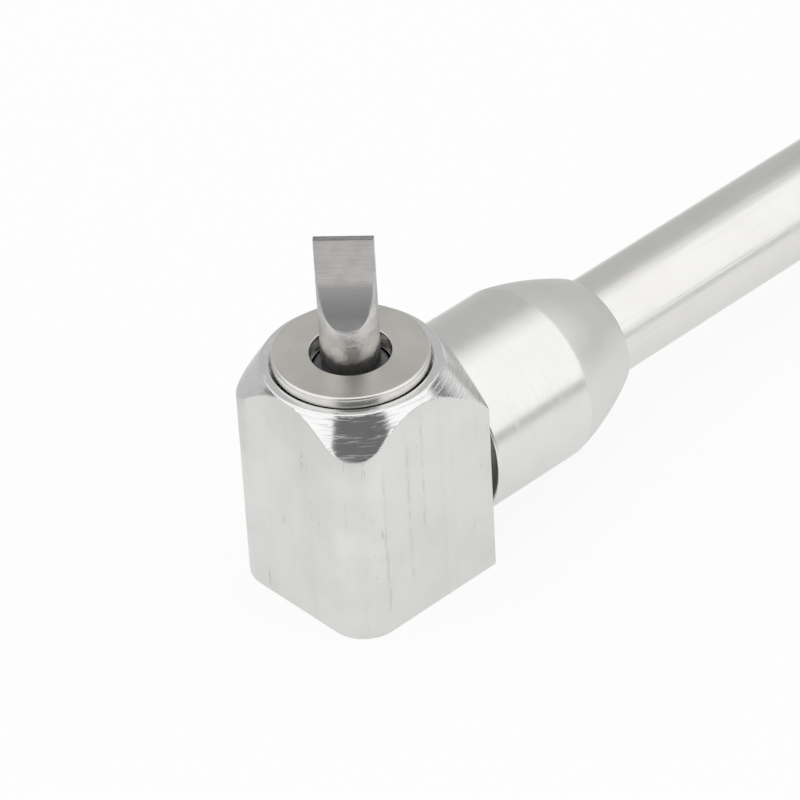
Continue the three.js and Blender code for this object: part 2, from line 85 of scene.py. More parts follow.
SPINDLE_RADIUS = 3.0
GROOVE_RADIUS = 2.6
GROOVE_TOP = 25.9129
GEAR_SEAT_RADIUS = 2.5
GEAR_SEAT_BOTTOM = 15.561
JOURNAL_RADIUS = 2.0
JOURNAL_BOTTOM = 1.5
SHOULDER = 19.7629
BLADE_TIP = 41.2529
BLADE_FLAT_START = 35.9529
BLADE_RUN_OUT_START = 31.8529
BLADE_TIP_HALF = 0.36
BLADE_ROOT_HALF = 1.25
BLADE_BEND_HALF = 1.6278
BLADE_BEND_HEIGHT = 33.7029
BLADE_ANGLE = math.radians(-46)

CIRCLIP_INSIDE = 2.65
CIRCLIP_OUTSIDE = 3.8
CIRCLIP_BOTTOM = 25.1629
CIRCLIP_TOP = 25.8629
CIRCLIP_MOUTH = math.radians(70)
CIRCLIP_TURN = math.radians(49)
INNER_RING_INSIDE = 3.05
INNER_RING_OUTSIDE = 4.4
BALL_PITCH_RADIUS = 5.25
BALL_TRACK_RADIUS = 1.4

COLLAR_RADIUS = 9.75
COLLAR_FRONT = 10.3
COLLAR_TAPER_START = 23.45
COLLAR_TAPER_LENGTH = 9.0
COLLAR_TAPER_DROP = 3.25
COLLAR_TAPER_BULGE = 1.44
COLLAR_END_ROUND = 0.7
SPIGOT_RADIUS = 7.6
SPIGOT_FRONT = 6.45
SPIGOT_CHAMBER_END = 10.2629
FRONT_BUSH_SEAT = 4.05
TUBE_SOCKET_START = 18.8629
TUBE_SOCKET = 5.55

TUBE_RADIUS = 5.5
TUBE_INSIDE = 4.0
TUBE_START = 18.9129
TUBE_END = 261.9129

REAR_BUSH_START = 249.9629
REAR_BUSH_RADIUS = 3.95
REAR_BUSH_BORE = 2.58
REAR_FLANGE_START = 261.9629
REAR_FLANGE_END = 262.9629
REAR_FLANGE_RADIUS = 5.3
REAR_WASHER_START = 263.0129
REAR_WASHER_END = 263.8129
REAR_WASHER_INSIDE = 2.55
REAR_WASHER_RADIUS = 4.6

KNOB_START = 263.8629
KNOB_END = 289.8629
KNOB_RADIUS = 11.3
KNOB_BORE = 2.55
KNOB_BORE_END = 283.8629
KNOB_EDGE = 1.2
KNOB_BAND = 10.85
KNOB_NECK = 10.4
KNOB_BAND_INSET = 3.2
KNOB_NECK_LENGTH = 2.4
KNOB_DISH_RADIUS = 7.5
KNOB_DISH_FLOOR = 6.9
KNOB_DISH_DEPTH = 0.6
KNOB_FLUTES = 24
KNOB_FLUTE_DEPTH = 0.45
KNOB_CREST_SHARE = 0.45
SET_SCREW_PLACE = 270.4629
SET_SCREW_HOLE = 2.05

ROUND_FACETS = 160


# Mesh building

def rounded(outline):
    """Points of a closed outline given as (across, up, corner radius)."""
    points = []
    for i, (across, up, radius) in enumerate(outline):
        corner = np.array((across, up), float)
        if radius <= 0:
            points.append(corner)
            continue
        back = np.array(outline[i - 1][:2]) - corner
        ahead = np.array(outline[(i + 1) % len(outline)][:2]) - corner
        back /= np.linalg.norm(back)
        ahead /= np.linalg.norm(ahead)
        half = math.acos(float(np.clip(back @ ahead, -1, 1))) / 2
        middle = (back + ahead) / np.linalg.norm(back + ahead)
        centre = corner + middle * radius / math.sin(half)
        start = corner + back * radius / math.tan(half) - centre
        end = corner + ahead * radius / math.tan(half) - centre
        first = math.atan2(start[1], start[0])
        turn = math.atan2(end[1], end[0]) - first
        turn = (turn + math.pi) % (2 * math.pi) - math.pi
        steps = 4 + int(6 * radius)
        for k in range(steps + 1):
            angle = first + turn * k / steps
            points.append(centre + radius * np.array((math.cos(angle), math.sin(angle))))
    return np.array(points)


def refined(points, longest):
    """The same closed outline with its long sides divided."""
    result = []
    for i, point in enumerate(points):
        ahead = points[(i + 1) % len(points)]
        parts = max(1, math.ceil(np.linalg.norm(ahead - point) / longest))
        for k in range(parts):
            result.append(point + (ahead - point) * k / parts)
    return np.array(result)


def skin(loops, first_point=None, last_point=None, joined=False):
    """Points and faces over a row of closed loops, with each end brought to a point or the two joined."""
    loops = np.asarray(loops, float)
    count, around = loops.shape[:2]
    points = loops.reshape(-1, 3).tolist()
    faces = []
    zones = []
    for i in range(count if joined else count - 1):
        low = i * around
        high = (i + 1) % count * around
        for j in range(around):
            k = (j + 1) % around
            faces.append((low + j, low + k, high + k, high + j))
            zones.append(i)
    if first_point is not None:
        points.append(first_point)
        for j in range(around):
            faces.append((len(points) - 1, (j + 1) % around, j))
            zones.append(0)
    if last_point is not None:
        points.append(last_point)
        low = (count - 1) * around
        for j in range(around):
            faces.append((low + j, low + (j + 1) % around, len(points) - 1))
            zones.append(count - 1)
    return points, faces, zones


def along_shaft(points):
    """Turns points made about Z onto the shaft's line, which runs along X."""
    points = np.asarray(points, float)
    return np.stack((points[:, 2], points[:, 1], SHAFT_HEIGHT - points[:, 0]), axis=1)


def mesh_object(name, points, faces, face_finish=None):
    """One closed body in metres, with doubled points joined and every face looking out."""
    mesh = bpy.data.meshes.new(name)
    mesh.from_pydata((np.asarray(points, float) * MM).tolist(), [], faces)
    if face_finish is not None:
        mesh.polygons.foreach_set("material_index", face_finish)
    body = bmesh.new()
    body.from_mesh(mesh)
    bmesh.ops.remove_doubles(body, verts=body.verts, dist=2e-7)
    bmesh.ops.dissolve_degenerate(body, edges=body.edges, dist=1e-7)
    bmesh.ops.recalc_face_normals(body, faces=body.faces)
    body.to_mesh(mesh)
    body.free()
    piece = bpy.data.objects.new(name, mesh)
    bpy.context.scene.collection.objects.link(piece)
    return piece


def cut_away(piece, cutter):
    """Takes the cutter's volume out of the piece for good."""
    boolean = piece.modifiers.new("bore", "BOOLEAN")
    boolean.operation = "DIFFERENCE"
    boolean.solver = "EXACT"
    boolean.object = cutter
    graph = bpy.context.evaluated_depsgraph_get()
    mesh = bpy.data.meshes.new_from_object(piece.evaluated_get(graph))
    piece.modifiers.clear()
    piece.data = mesh
    bpy.data.objects.remove(cutter)


def smoothed(piece, sharp_degrees=32):
    """Smooth shading that keeps the real edges and lets flat faces stay flat."""
    mesh = piece.data
    mesh.polygons.foreach_set("use_smooth", [True] * len(mesh.polygons))
    mesh.set_sharp_from_angle(angle=math.radians(sharp_degrees))
    weighted = piece.modifiers.new("flat_faces_stay_flat", "WEIGHTED_NORMAL")
    weighted.mode = "FACE_AREA"
    weighted.keep_sharp = True
    return piece


def turned(name, outline, facets=ROUND_FACETS, on_shaft=False):
    """A piece turned on the lathe from a closed outline of (radius, height, corner radius)."""
    section = rounded(outline)
    angles = np.arange(facets) * 2 * math.pi / facets
    loops = []
    for radius, height in section:
        ring = (radius * np.cos(angles), radius * np.sin(angles), np.full(facets, height))
        loops.append(np.stack(ring, axis=1))
    points, faces, _ = skin(loops, joined=True)
    if on_shaft:
        points = along_shaft(points)
    return mesh_object(name, points, faces)


# Pieces of the head

def head_plan():
    """Outline of the block seen from above: two large round corners at its free end."""
    corners = [
        (-HEAD_END, -HEAD_HALF_WIDTH, HEAD_CORNER),
        (HEAD_BACK, -HEAD_HALF_WIDTH, HEAD_BACK_EDGE),
        (HEAD_BACK, HEAD_HALF_WIDTH, HEAD_BACK_EDGE),
        (-HEAD_END, HEAD_HALF_WIDTH, HEAD_CORNER),
    ]
    return refined(rounded(corners), 0.4)


def head_block():
    """The block with its turned taper, its stepped bore and the bore for the collar's spigot."""
    plan = head_plan()
    reach = np.linalg.norm(plan, axis=1)
    heading = plan / reach[:, None]
    overhang = reach - LAND_RADIUS
    taper_foot = HEAD_HEIGHT - overhang / TAPER_SLOPE
    edge = np.minimum(TAPER_EDGE, 0.3 * overhang)
    loops = []
    finishes = []

    def loop(radius, height, finish):
        ring = np.empty((len(plan), 3))
        ring[:, :2] = heading * np.broadcast_to(radius, reach.shape)[:, None]
        ring[:, 2] = height
        loops.append(ring)
        finishes.append(finish)

    loop(reach - 3 * HEAD_BASE_EDGE, 0.0, 0)
    for k in range(6):
        turn = math.pi / 2 * k / 5
        loop(
            reach - HEAD_BASE_EDGE * (1 - math.sin(turn)),
            HEAD_BASE_EDGE * (1 - math.cos(turn)),
            0,
        )
    wall_top = taper_foot - edge
    for k in range(1, WALL_STEPS + 1):
        loop(reach, HEAD_BASE_EDGE + (wall_top - HEAD_BASE_EDGE) * k / WALL_STEPS, 0)
    loop(reach - 0.18 * edge, taper_foot - 0.2 * edge, 1)
    loop(reach - 0.62 * edge, taper_foot + 0.55 * edge / TAPER_SLOPE, 1)
    taper_start = reach - edge
    for k in range(TAPER_STEPS + 1):
        radius = taper_start + (LAND_RADIUS + LAND_EDGE / 2 - taper_start) * k / TAPER_STEPS
        loop(radius, HEAD_HEIGHT - (radius - LAND_RADIUS) / TAPER_SLOPE, 1)
    loop(LAND_RADIUS - LAND_EDGE / 4, HEAD_HEIGHT - LAND_EDGE / 4, 1)
    loop(LAND_RADIUS - LAND_EDGE, HEAD_HEIGHT, 1)
    loop(WELL_RADIUS + WELL_EDGE, HEAD_HEIGHT, 1)
    loop(WELL_RADIUS, HEAD_HEIGHT - WELL_EDGE, 1)
    loop(WELL_RADIUS, BEARING_TOP, 1)
    loop(BEARING_SEAT, BEARING_TOP, 1)
    loop(BEARING_SEAT, BEARING_BOTTOM, 1)
    loop(CHAMBER_RADIUS, BEARING_BOTTOM, 1)
    loop(CHAMBER_RADIUS, CHAMBER_FLOOR, 1)
    loop(LOWER_BUSH_SEAT, CHAMBER_FLOOR, 1)
    loop(LOWER_BUSH_SEAT, HEAD_FLOOR, 1)
    points, faces, zones = skin(loops, (0, 0, 0), (0, 0, HEAD_FLOOR))
    block = mesh_object("head_block", points, faces, [finishes[zone] for zone in zones])
    spigot_bore = [
        (0.0, SPIGOT_SEAT_START - CROSS_BORE_REACH),
        (CHAMBER_RADIUS, SPIGOT_SEAT_START - CROSS_BORE_REACH),
        (CHAMBER_RADIUS, SPIGOT_SEAT_START),
        (SPIGOT_SEAT, SPIGOT_SEAT_START),
        (SPIGOT_SEAT, HEAD_BACK - BORE_RUN_OUT),
        (SPIGOT_SEAT + BORE_COUNTERSINK, HEAD_BACK + BORE_RUN_OUT),
        (0.0, HEAD_BACK + BORE_RUN_OUT),
    ]
    angles = np.arange(ROUND_FACETS) * 2 * math.pi / ROUND_FACETS
    bore_loops = []
    for radius, height in spigot_bore[1:-1]:
        ring = (radius * np.cos(angles), radius * np.sin(angles), np.full(ROUND_FACETS, height))
        bore_loops.append(np.stack(ring, axis=1))
    ends = [(0, 0, spigot_bore[0][1]), (0, 0, spigot_bore[-1][1])]
    bore_points, bore_faces, _ = skin(bore_loops, *ends)
    for finish in (block_walls, block_taper):
        block.data.materials.append(finish)
    cut_away(block, mesh_object("spigot_bore", along_shaft(bore_points), bore_faces))
    return smoothed(block)


def cap():
    """The turned ring on the head, with a rounded rim and a broken edge at its hole."""
    return smoothed(turned("cap", [
        (CAP_RELIEF, CAP_BOTTOM, 0.05),
        (CAP_RADIUS, CAP_BOTTOM, 0.15),
        (CAP_RADIUS, CAP_TOP, CAP_RIM_ROUND),
        (CAP_HOLE, CAP_TOP, 0.16),
        (CAP_HOLE, CAP_BOTTOM + CAP_RELIEF_DEPTH, 0.05),
        (CAP_RELIEF, CAP_BOTTOM + CAP_RELIEF_DEPTH, 0.05),
    ]))


def blade_section(radius, half, height, scale=1.0):
    """One level of the spindle: a circle with two flats that stand half a thickness from the middle."""
    half = min(half, radius)
    spread = math.asin(half / radius)
    width = radius * math.cos(spread)
    turns = np.linspace(-spread, spread, 40)
    across = np.linspace(1, -1, 32)[1:-1] * width
    right = np.stack((radius * np.cos(turns), radius * np.sin(turns)), axis=1)
    far = np.stack((across, np.full(across.shape, half)), axis=1)
    section = np.concatenate((right, far, -right, -far)) * scale
    lengthwise = np.array((math.cos(BLADE_ANGLE), math.sin(BLADE_ANGLE)))
    sideways = np.array((-lengthwise[1], lengthwise[0]))
    level = np.full((len(section), 3), height)
    level[:, :2] = section[:, :1] * lengthwise + section[:, 1:] * sideways
    return level


def blade_half(height):
    """Half thickness of the blade at a height: a hollow run-out below and straight flats above."""
    if height <= BLADE_RUN_OUT_START:
        return SPINDLE_RADIUS
    if height >= BLADE_FLAT_START:
        share = (height - BLADE_FLAT_START) / (BLADE_TIP - BLADE_FLAT_START)
        return BLADE_ROOT_HALF + (BLADE_TIP_HALF - BLADE_ROOT_HALF) * share
    low, high = 0.0, 1.0
    for _ in range(40):
        t = (low + high) / 2
        reached = (
            (1 - t) ** 2 * BLADE_RUN_OUT_START
            + 2 * t * (1 - t) * BLADE_BEND_HEIGHT
            + t * t * BLADE_FLAT_START
        )
        if reached < height:
            low = t
        else:
            high = t
    return (1 - t) ** 2 * SPINDLE_RADIUS + 2 * t * (1 - t) * BLADE_BEND_HALF + t * t * BLADE_ROOT_HALF


def blade():
    """The spindle with its journal, gear seat, circlip groove and ground blade."""
    levels = [
        (JOURNAL_BOTTOM, JOURNAL_RADIUS - 0.2),
        (JOURNAL_BOTTOM + 0.2, JOURNAL_RADIUS),
        (GEAR_SEAT_BOTTOM, JOURNAL_RADIUS),
        (GEAR_SEAT_BOTTOM, GEAR_SEAT_RADIUS),
        (SHOULDER, GEAR_SEAT_RADIUS),
        (SHOULDER, SPINDLE_RADIUS),
        (BEARING_TOP, SPINDLE_RADIUS),
        (BEARING_TOP, GROOVE_RADIUS),
        (GROOVE_TOP, GROOVE_RADIUS),
        (GROOVE_TOP, SPINDLE_RADIUS),
    ]
    loops = [blade_section(radius, radius, height) for height, radius in levels]
    for height in np.linspace(GROOVE_TOP, BLADE_RUN_OUT_START, 10)[1:]:
        loops.append(blade_section(SPINDLE_RADIUS, SPINDLE_RADIUS, height))
    run_out = BLADE_FLAT_START - BLADE_RUN_OUT_START
    for share in np.linspace(0, 1, 41)[1:]:
        height = BLADE_RUN_OUT_START + run_out * share ** 1.5
        loops.append(blade_section(SPINDLE_RADIUS, blade_half(height), height))
    tip_edge = 0.05
    for height in np.linspace(BLADE_FLAT_START, BLADE_TIP - tip_edge, 16)[1:]:
        loops.append(blade_section(SPINDLE_RADIUS, blade_half(height), height))
    side_round = SPINDLE_RADIUS - tip_edge
    loops.append(blade_section(side_round, BLADE_TIP_HALF - 0.03, BLADE_TIP))
    points, faces, _ = skin(loops, (0, 0, JOURNAL_BOTTOM), (0, 0, BLADE_TIP))
    return smoothed(mesh_object("blade", points, faces), 24)


def circlip():
    """The open ring in the spindle's groove, stamped with slightly rounded edges."""
    section = rounded([
        (CIRCLIP_INSIDE, CIRCLIP_BOTTOM, 0.1),
        (CIRCLIP_OUTSIDE, CIRCLIP_BOTTOM, 0.1),
        (CIRCLIP_OUTSIDE, CIRCLIP_TOP, 0.1),
        (CIRCLIP_INSIDE, CIRCLIP_TOP, 0.1),
    ])
    middle = section.mean(axis=0)
    loops = []
    turns = CIRCLIP_TURN + np.linspace(CIRCLIP_MOUTH / 2, 2 * math.pi - CIRCLIP_MOUTH / 2, 121)
    for turn in turns:
        ring = (section[:, 0] * math.cos(turn), section[:, 0] * math.sin(turn), section[:, 1])
        loops.append(np.stack(ring, axis=1))
    ends = []
    for turn in (turns[0], turns[-1]):
        ends.append((middle[0] * math.cos(turn), middle[0] * math.sin(turn), middle[1]))
    points, faces, _ = skin(loops, *ends)
    return smoothed(mesh_object("circlip", points, faces))


def bearing_inner():
    """The bearing's inner ring with its ball track."""
    middle = (BEARING_BOTTOM + BEARING_TOP) / 2
    gap = BALL_PITCH_RADIUS - INNER_RING_OUTSIDE
    half = math.acos(gap / BALL_TRACK_RADIUS)
    track = []
    for k in range(13):
        turn = math.pi + half - 2 * half * k / 12
        track.append((
            BALL_PITCH_RADIUS + BALL_TRACK_RADIUS * math.cos(turn),
            middle + BALL_TRACK_RADIUS * math.sin(turn),
            0,
        ))
    outline = [
        (INNER_RING_INSIDE, BEARING_BOTTOM, 0.15),
        (INNER_RING_OUTSIDE, BEARING_BOTTOM, 0.08),
        *track,
        (INNER_RING_OUTSIDE, BEARING_TOP, 0.08),
        (INNER_RING_INSIDE, BEARING_TOP, 0.15),
    ]
    return smoothed(turned("bearing_inner", outline))


# Pieces on the shaft's line

def collar_sleeve():
    """The turned collar: spigot, straight front, rounded taper and the tube's socket."""
    taper = []
    for k in range(1, 25):
        t = k / 24
        radius = COLLAR_RADIUS - COLLAR_TAPER_DROP * t + COLLAR_TAPER_BULGE * t * (1 - t)
        taper.append((radius, COLLAR_TAPER_START + COLLAR_TAPER_LENGTH * t, 0))
    end_radius, end_place, _ = taper[-1]
    while taper and taper[-1][1] > end_place - COLLAR_END_ROUND:
        taper.pop()
    outline = [
        (CHAMBER_RADIUS, SPIGOT_FRONT, 0.1),
        (SPIGOT_RADIUS, SPIGOT_FRONT, 0.25),
        (SPIGOT_RADIUS, COLLAR_FRONT, 0),
        (COLLAR_RADIUS, COLLAR_FRONT, 0.35),
        (COLLAR_RADIUS, COLLAR_TAPER_START, 0),
        *taper,
        (end_radius, end_place, COLLAR_END_ROUND * 0.9),
        (TUBE_SOCKET, end_place, 0.12),
        (TUBE_SOCKET, TUBE_SOCKET_START, 0),
        (FRONT_BUSH_SEAT, TUBE_SOCKET_START, 0),
        (FRONT_BUSH_SEAT, SPIGOT_CHAMBER_END, 0),
        (CHAMBER_RADIUS, SPIGOT_CHAMBER_END, 0),
    ]
    return smoothed(turned("collar_sleeve", outline, on_shaft=True), 20)


def long_tube():
    """The drawn tube, its ends faced off and lightly broken."""
    return smoothed(turned("long_tube", [
        (TUBE_INSIDE, TUBE_START, 0.15),
        (TUBE_RADIUS, TUBE_START, 0.2),
        (TUBE_RADIUS, TUBE_END, 0.25),
        (TUBE_INSIDE, TUBE_END, 0.15),
    ], on_shaft=True))


def rear_bush():
    """The flanged bush in the tube's far end."""
    return smoothed(turned("rear_bush", [
        (REAR_BUSH_BORE, REAR_BUSH_START, 0.15),
        (REAR_BUSH_RADIUS, REAR_BUSH_START, 0.3),
        (REAR_BUSH_RADIUS, REAR_FLANGE_START, 0),
        (REAR_FLANGE_RADIUS, REAR_FLANGE_START, 0.08),
        (REAR_FLANGE_RADIUS, REAR_FLANGE_END, 0.2),
        (REAR_BUSH_BORE, REAR_FLANGE_END, 0.15),
    ], on_shaft=True))


def rear_washer():
    """The thrust washer between the bush and the knob."""
    return smoothed(turned("rear_washer", [
        (REAR_WASHER_INSIDE, REAR_WASHER_START, 0.1),
        (REAR_WASHER_RADIUS, REAR_WASHER_START, 0.18),
        (REAR_WASHER_RADIUS, REAR_WASHER_END, 0.18),
        (REAR_WASHER_INSIDE, REAR_WASHER_END, 0.1),
    ], on_shaft=True))


def grip_knob():
    """The fluted knob: two grip bands, a neck between them, a dished rear face and the set screw's hole."""
    per_flute = 14
    around = KNOB_FLUTES * per_flute
    share = (np.arange(around) % per_flute) / per_flute
    groove = np.clip((share - KNOB_CREST_SHARE) / (1 - KNOB_CREST_SHARE), 0, 1)
    flute = 0.5 - 0.5 * np.cos(2 * math.pi * groove)
    angles = np.arange(around) * 2 * math.pi / around
    front_grip_start = KNOB_START + KNOB_BAND_INSET
    rear_grip_end = KNOB_END - KNOB_BAND_INSET
    middle = (KNOB_START + KNOB_END) / 2
    front_grip_end = middle - KNOB_NECK_LENGTH / 2
    rear_grip_start = middle + KNOB_NECK_LENGTH / 2
    lead_in = 0.5
    face = KNOB_BAND - KNOB_EDGE
    turn_in = 0.5
    rows = [
        (KNOB_BORE, KNOB_BORE_END, 0),
        (KNOB_BORE, KNOB_START + 0.15, 0),
        (KNOB_BORE + 0.15, KNOB_START, 0),
        (face - 0.12, KNOB_START, 0),
        (face + 0.06, KNOB_START + 0.05, 0),
        (KNOB_BAND - 0.1, KNOB_START + KNOB_EDGE - 0.1, 0),
        (KNOB_BAND, KNOB_START + KNOB_EDGE + 0.12, 0),
        (KNOB_BAND, front_grip_start, 0),
        (KNOB_RADIUS - 0.05, front_grip_start + lead_in - 0.05, 1),
        (KNOB_RADIUS, front_grip_start + lead_in + 0.1, 1),
        (KNOB_RADIUS, front_grip_end - lead_in - 0.1, 1),
        (KNOB_RADIUS - 0.05, front_grip_end - lead_in + 0.05, 1),
        (KNOB_BAND, front_grip_end, 0),
        (KNOB_NECK, front_grip_end + turn_in, 0),
        (KNOB_NECK, rear_grip_start - turn_in, 0),
        (KNOB_BAND, rear_grip_start, 0),
        (KNOB_RADIUS - 0.05, rear_grip_start + lead_in - 0.05, 1),
        (KNOB_RADIUS, rear_grip_start + lead_in + 0.1, 1),
        (KNOB_RADIUS, rear_grip_end - lead_in - 0.1, 1),
        (KNOB_RADIUS - 0.05, rear_grip_end - lead_in + 0.05, 1),
        (KNOB_BAND, rear_grip_end, 0),
        (KNOB_BAND, KNOB_END - KNOB_EDGE - 0.12, 0),
        (KNOB_BAND - 0.1, KNOB_END - KNOB_EDGE + 0.1, 0),
        (face + 0.06, KNOB_END - 0.05, 0),
        (face - 0.12, KNOB_END, 0),
        (KNOB_DISH_RADIUS + 0.1, KNOB_END, 0),
        (KNOB_DISH_RADIUS - 0.05, KNOB_END - 0.05, 0),
        (KNOB_DISH_FLOOR + 0.05, KNOB_END - KNOB_DISH_DEPTH + 0.05, 0),
        (KNOB_DISH_FLOOR - 0.1, KNOB_END - KNOB_DISH_DEPTH, 0),
        (2.0, KNOB_END - KNOB_DISH_DEPTH, 0),
    ]
    loops = []
    for radius, place, fluted in rows:
        reach = radius - fluted * KNOB_FLUTE_DEPTH * flute
        ring = (reach * np.cos(angles), reach * np.sin(angles), np.full(around, place))
        loops.append(np.stack(ring, axis=1))
    ends = [(0, 0, KNOB_BORE_END), (0, 0, KNOB_END - KNOB_DISH_DEPTH)]
    points, faces, _ = skin(loops, *ends)
    knob = mesh_object("grip_knob", along_shaft(points), faces)
    hole_angles = np.arange(48) * 2 * math.pi / 48
    hole_loops = []
    for depth, radius in ((KNOB_BORE - 0.7, SET_SCREW_HOLE), (KNOB_BAND - 0.3, SET_SCREW_HOLE),
                          (KNOB_RADIUS + 0.3, SET_SCREW_HOLE + 0.6)):
        hole_loops.append(np.stack((
            np.full(48, depth),
            radius * np.cos(hole_angles),
            SET_SCREW_PLACE + radius * np.sin(hole_angles),
        ), axis=1))
    hole_ends = [(KNOB_BORE - 0.7, 0, SET_SCREW_PLACE), (KNOB_RADIUS + 0.3, 0, SET_SCREW_PLACE)]
    hole_points, hole_faces, _ = skin(hole_loops, *hole_ends)
    cut_away(knob, mesh_object("set_screw_hole", along_shaft(hole_points), hole_faces))
    return smoothed(knob, 30)


# Finishes

COARSE_CUT_ROUGHNESS = 0.26
SIDE_SCORES = ((0.0, 8.0, 26.0), (-2.0, 3.0, 23.0), (-5.3, 0.5, 22.0))


class Nodes:
    """Short calls that place and join the nodes of one material, group or world."""

    def __init__(self, tree):
        self.tree = tree

    def add(self, kind, values=None, **settings):
        node = self.tree.nodes.new("ShaderNode" + kind)
        for key, value in settings.items():
            setattr(node, key, value)
        for key, value in (values or {}).items():
            socket = node.inputs[key]
            if isinstance(value, bpy.types.NodeSocket):
                self.tree.links.new(value, socket)
            else:
                socket.default_value = value
        return node

    def calc(self, operation, *terms, clamp=False):
        node = self.add("Math", dict(enumerate(terms)), operation=operation, use_clamp=clamp)
        return node.outputs[0]

    def ease(self, value, low, high, start=0.0, end=1.0):
        values = {"Value": value, "From Min": low, "From Max": high, "To Min": start, "To Max": end}
        return self.add("MapRange", values, interpolation_type="SMOOTHSTEP").outputs[0]

    def noise(self, place, scale, detail=2.0, roughness=0.5):
        values = {"Vector": place, "Scale": scale, "Detail": detail, "Roughness": roughness}
        return self.add("TexNoise", values).outputs[0]

    def tint(self, share, first, second):
        node = self.add("Mix", data_type="RGBA", blend_type="MIX")
        for index, value in ((0, share), (6, first), (7, second)):
            if isinstance(value, bpy.types.NodeSocket):
                self.tree.links.new(value, node.inputs[index])
            else:
                node.inputs[index].default_value = value
        return node.outputs[2]

    def vector(self, operation, *terms):
        values = {}
        for index, term in enumerate(terms):
            values["Scale" if operation == "SCALE" and index == 1 else index] = term
        node = self.add("VectorMath", values, operation=operation)
        return node.outputs["Value" if operation in ("LENGTH", "DOT_PRODUCT") else "Vector"]

    def placed(self, group, **values):
        node = self.add("Group", node_tree=group)
        for key, value in values.items():
            socket = node.inputs[key]
            if isinstance(value, bpy.types.NodeSocket):
                self.tree.links.new(value, socket)
            else:
                socket.default_value = value
        return node.outputs


def new_group(name, inputs, outputs):
    """An empty node group with named sockets, its inputs' outlet and its outputs' inlet."""
    tree = bpy.data.node_groups.new(name, "ShaderNodeTree")
    for label, kind in inputs:
        tree.interface.new_socket(label, in_out="INPUT", socket_type="NodeSocket" + kind)
    for label, kind in outputs:
        tree.interface.new_socket(label, in_out="OUTPUT", socket_type="NodeSocket" + kind)
    entry = tree.nodes.new("NodeGroupInput")
    leave = tree.nodes.new("NodeGroupOutput")
    return tree, Nodes(tree), entry.outputs, leave.inputs


def turning_lines_group():
    """Fine rings left by the lathe round the Z axis of the place given, in millimetres."""
    tree, nodes, given, out = new_group(
        "turning_lines",
        [("Place", "Vector"), ("Fineness", "Float"), ("Drift", "Float")],
        [("Lines", "Float"), ("Bands", "Float")],
    )
    apart = nodes.add("SeparateXYZ", {0: given["Place"]}).outputs
    flat = nodes.add("CombineXYZ", {0: apart[0], 1: apart[1]}).outputs[0]
    radius = nodes.vector("LENGTH", flat)
    heading = nodes.add("SeparateXYZ", {0: nodes.vector("NORMALIZE", flat)}).outputs
    station = nodes.calc("SUBTRACT", nodes.calc("MULTIPLY", radius, 0.6), apart[2])
    drift = [nodes.calc("MULTIPLY", heading[k], given["Drift"]) for k in (0, 1)]
    fine = nodes.calc("MULTIPLY", station, given["Fineness"])
    place = nodes.add("CombineXYZ", {0: fine, 1: drift[0], 2: drift[1]}).outputs[0]
    coarse = nodes.calc("MULTIPLY", fine, 0.17)
    wide = nodes.add("CombineXYZ", {0: coarse, 1: drift[0], 2: drift[1]}).outputs[0]
    nodes.tree.links.new(nodes.noise(place, 1.0, 3.0, 0.6), out["Lines"])
    nodes.tree.links.new(nodes.noise(wide, 1.0, 2.0, 0.5), out["Bands"])
    return tree


def drawn_lines_group():
    """Long straight lines left by the drawing die, finest across and longest where the spread is small."""
    tree, nodes, given, out = new_group(
        "drawn_lines",
        [("Place", "Vector"), ("Spread", "Vector")],
        [("Lines", "Float"), ("Streaks", "Float")],
    )
    place = nodes.vector("MULTIPLY", given["Place"], given["Spread"])
    wide = nodes.vector("SCALE", place, 0.22)
    nodes.tree.links.new(nodes.noise(place, 1.0, 3.0, 0.65), out["Lines"])
    nodes.tree.links.new(nodes.noise(wide, 1.0, 2.0, 0.5), out["Streaks"])
    return tree


def metal_grain_group():
    """The fine frosted grain of bare metal, with sparse tiny pits."""
    tree, nodes, given, out = new_group(
        "metal_grain",
        [("Place", "Vector"), ("Fineness", "Float")],
        [("Grain", "Float"), ("Pits", "Float")],
    )
    grain = nodes.noise(given["Place"], given["Fineness"], 2.0, 0.6)
    sparse = nodes.calc("MULTIPLY", given["Fineness"], 0.16)
    cells = nodes.add("TexVoronoi", {"Vector": given["Place"], "Scale": sparse}).outputs
    patch = nodes.ease(nodes.noise(given["Place"], 0.21, 1.0), 0.52, 0.66)
    pit = nodes.ease(cells["Distance"], 0.05, 0.11, 1.0, 0.0)
    nodes.tree.links.new(grain, out["Grain"])
    nodes.tree.links.new(nodes.calc("MULTIPLY", pit, patch), out["Pits"])
    return tree


def handling_marks_group():
    """Faint cloudy marks from oil and fingers."""
    tree, nodes, given, out = new_group(
        "handling_marks",
        [("Place", "Vector"), ("Size", "Float")],
        [("Cloud", "Float"), ("Smear", "Float")],
    )
    near = nodes.vector("SCALE", given["Place"], nodes.calc("DIVIDE", 1.0, given["Size"]))
    cloud = nodes.ease(nodes.noise(near, 1.0, 4.0, 0.55), 0.38, 0.68)
    pulled = nodes.vector("MULTIPLY", near, (2.6, 0.8, 1.7))
    smear = nodes.ease(nodes.noise(pulled, 1.3, 3.0, 0.6), 0.5, 0.72)
    nodes.tree.links.new(cloud, out["Cloud"])
    nodes.tree.links.new(smear, out["Smear"])
    return tree


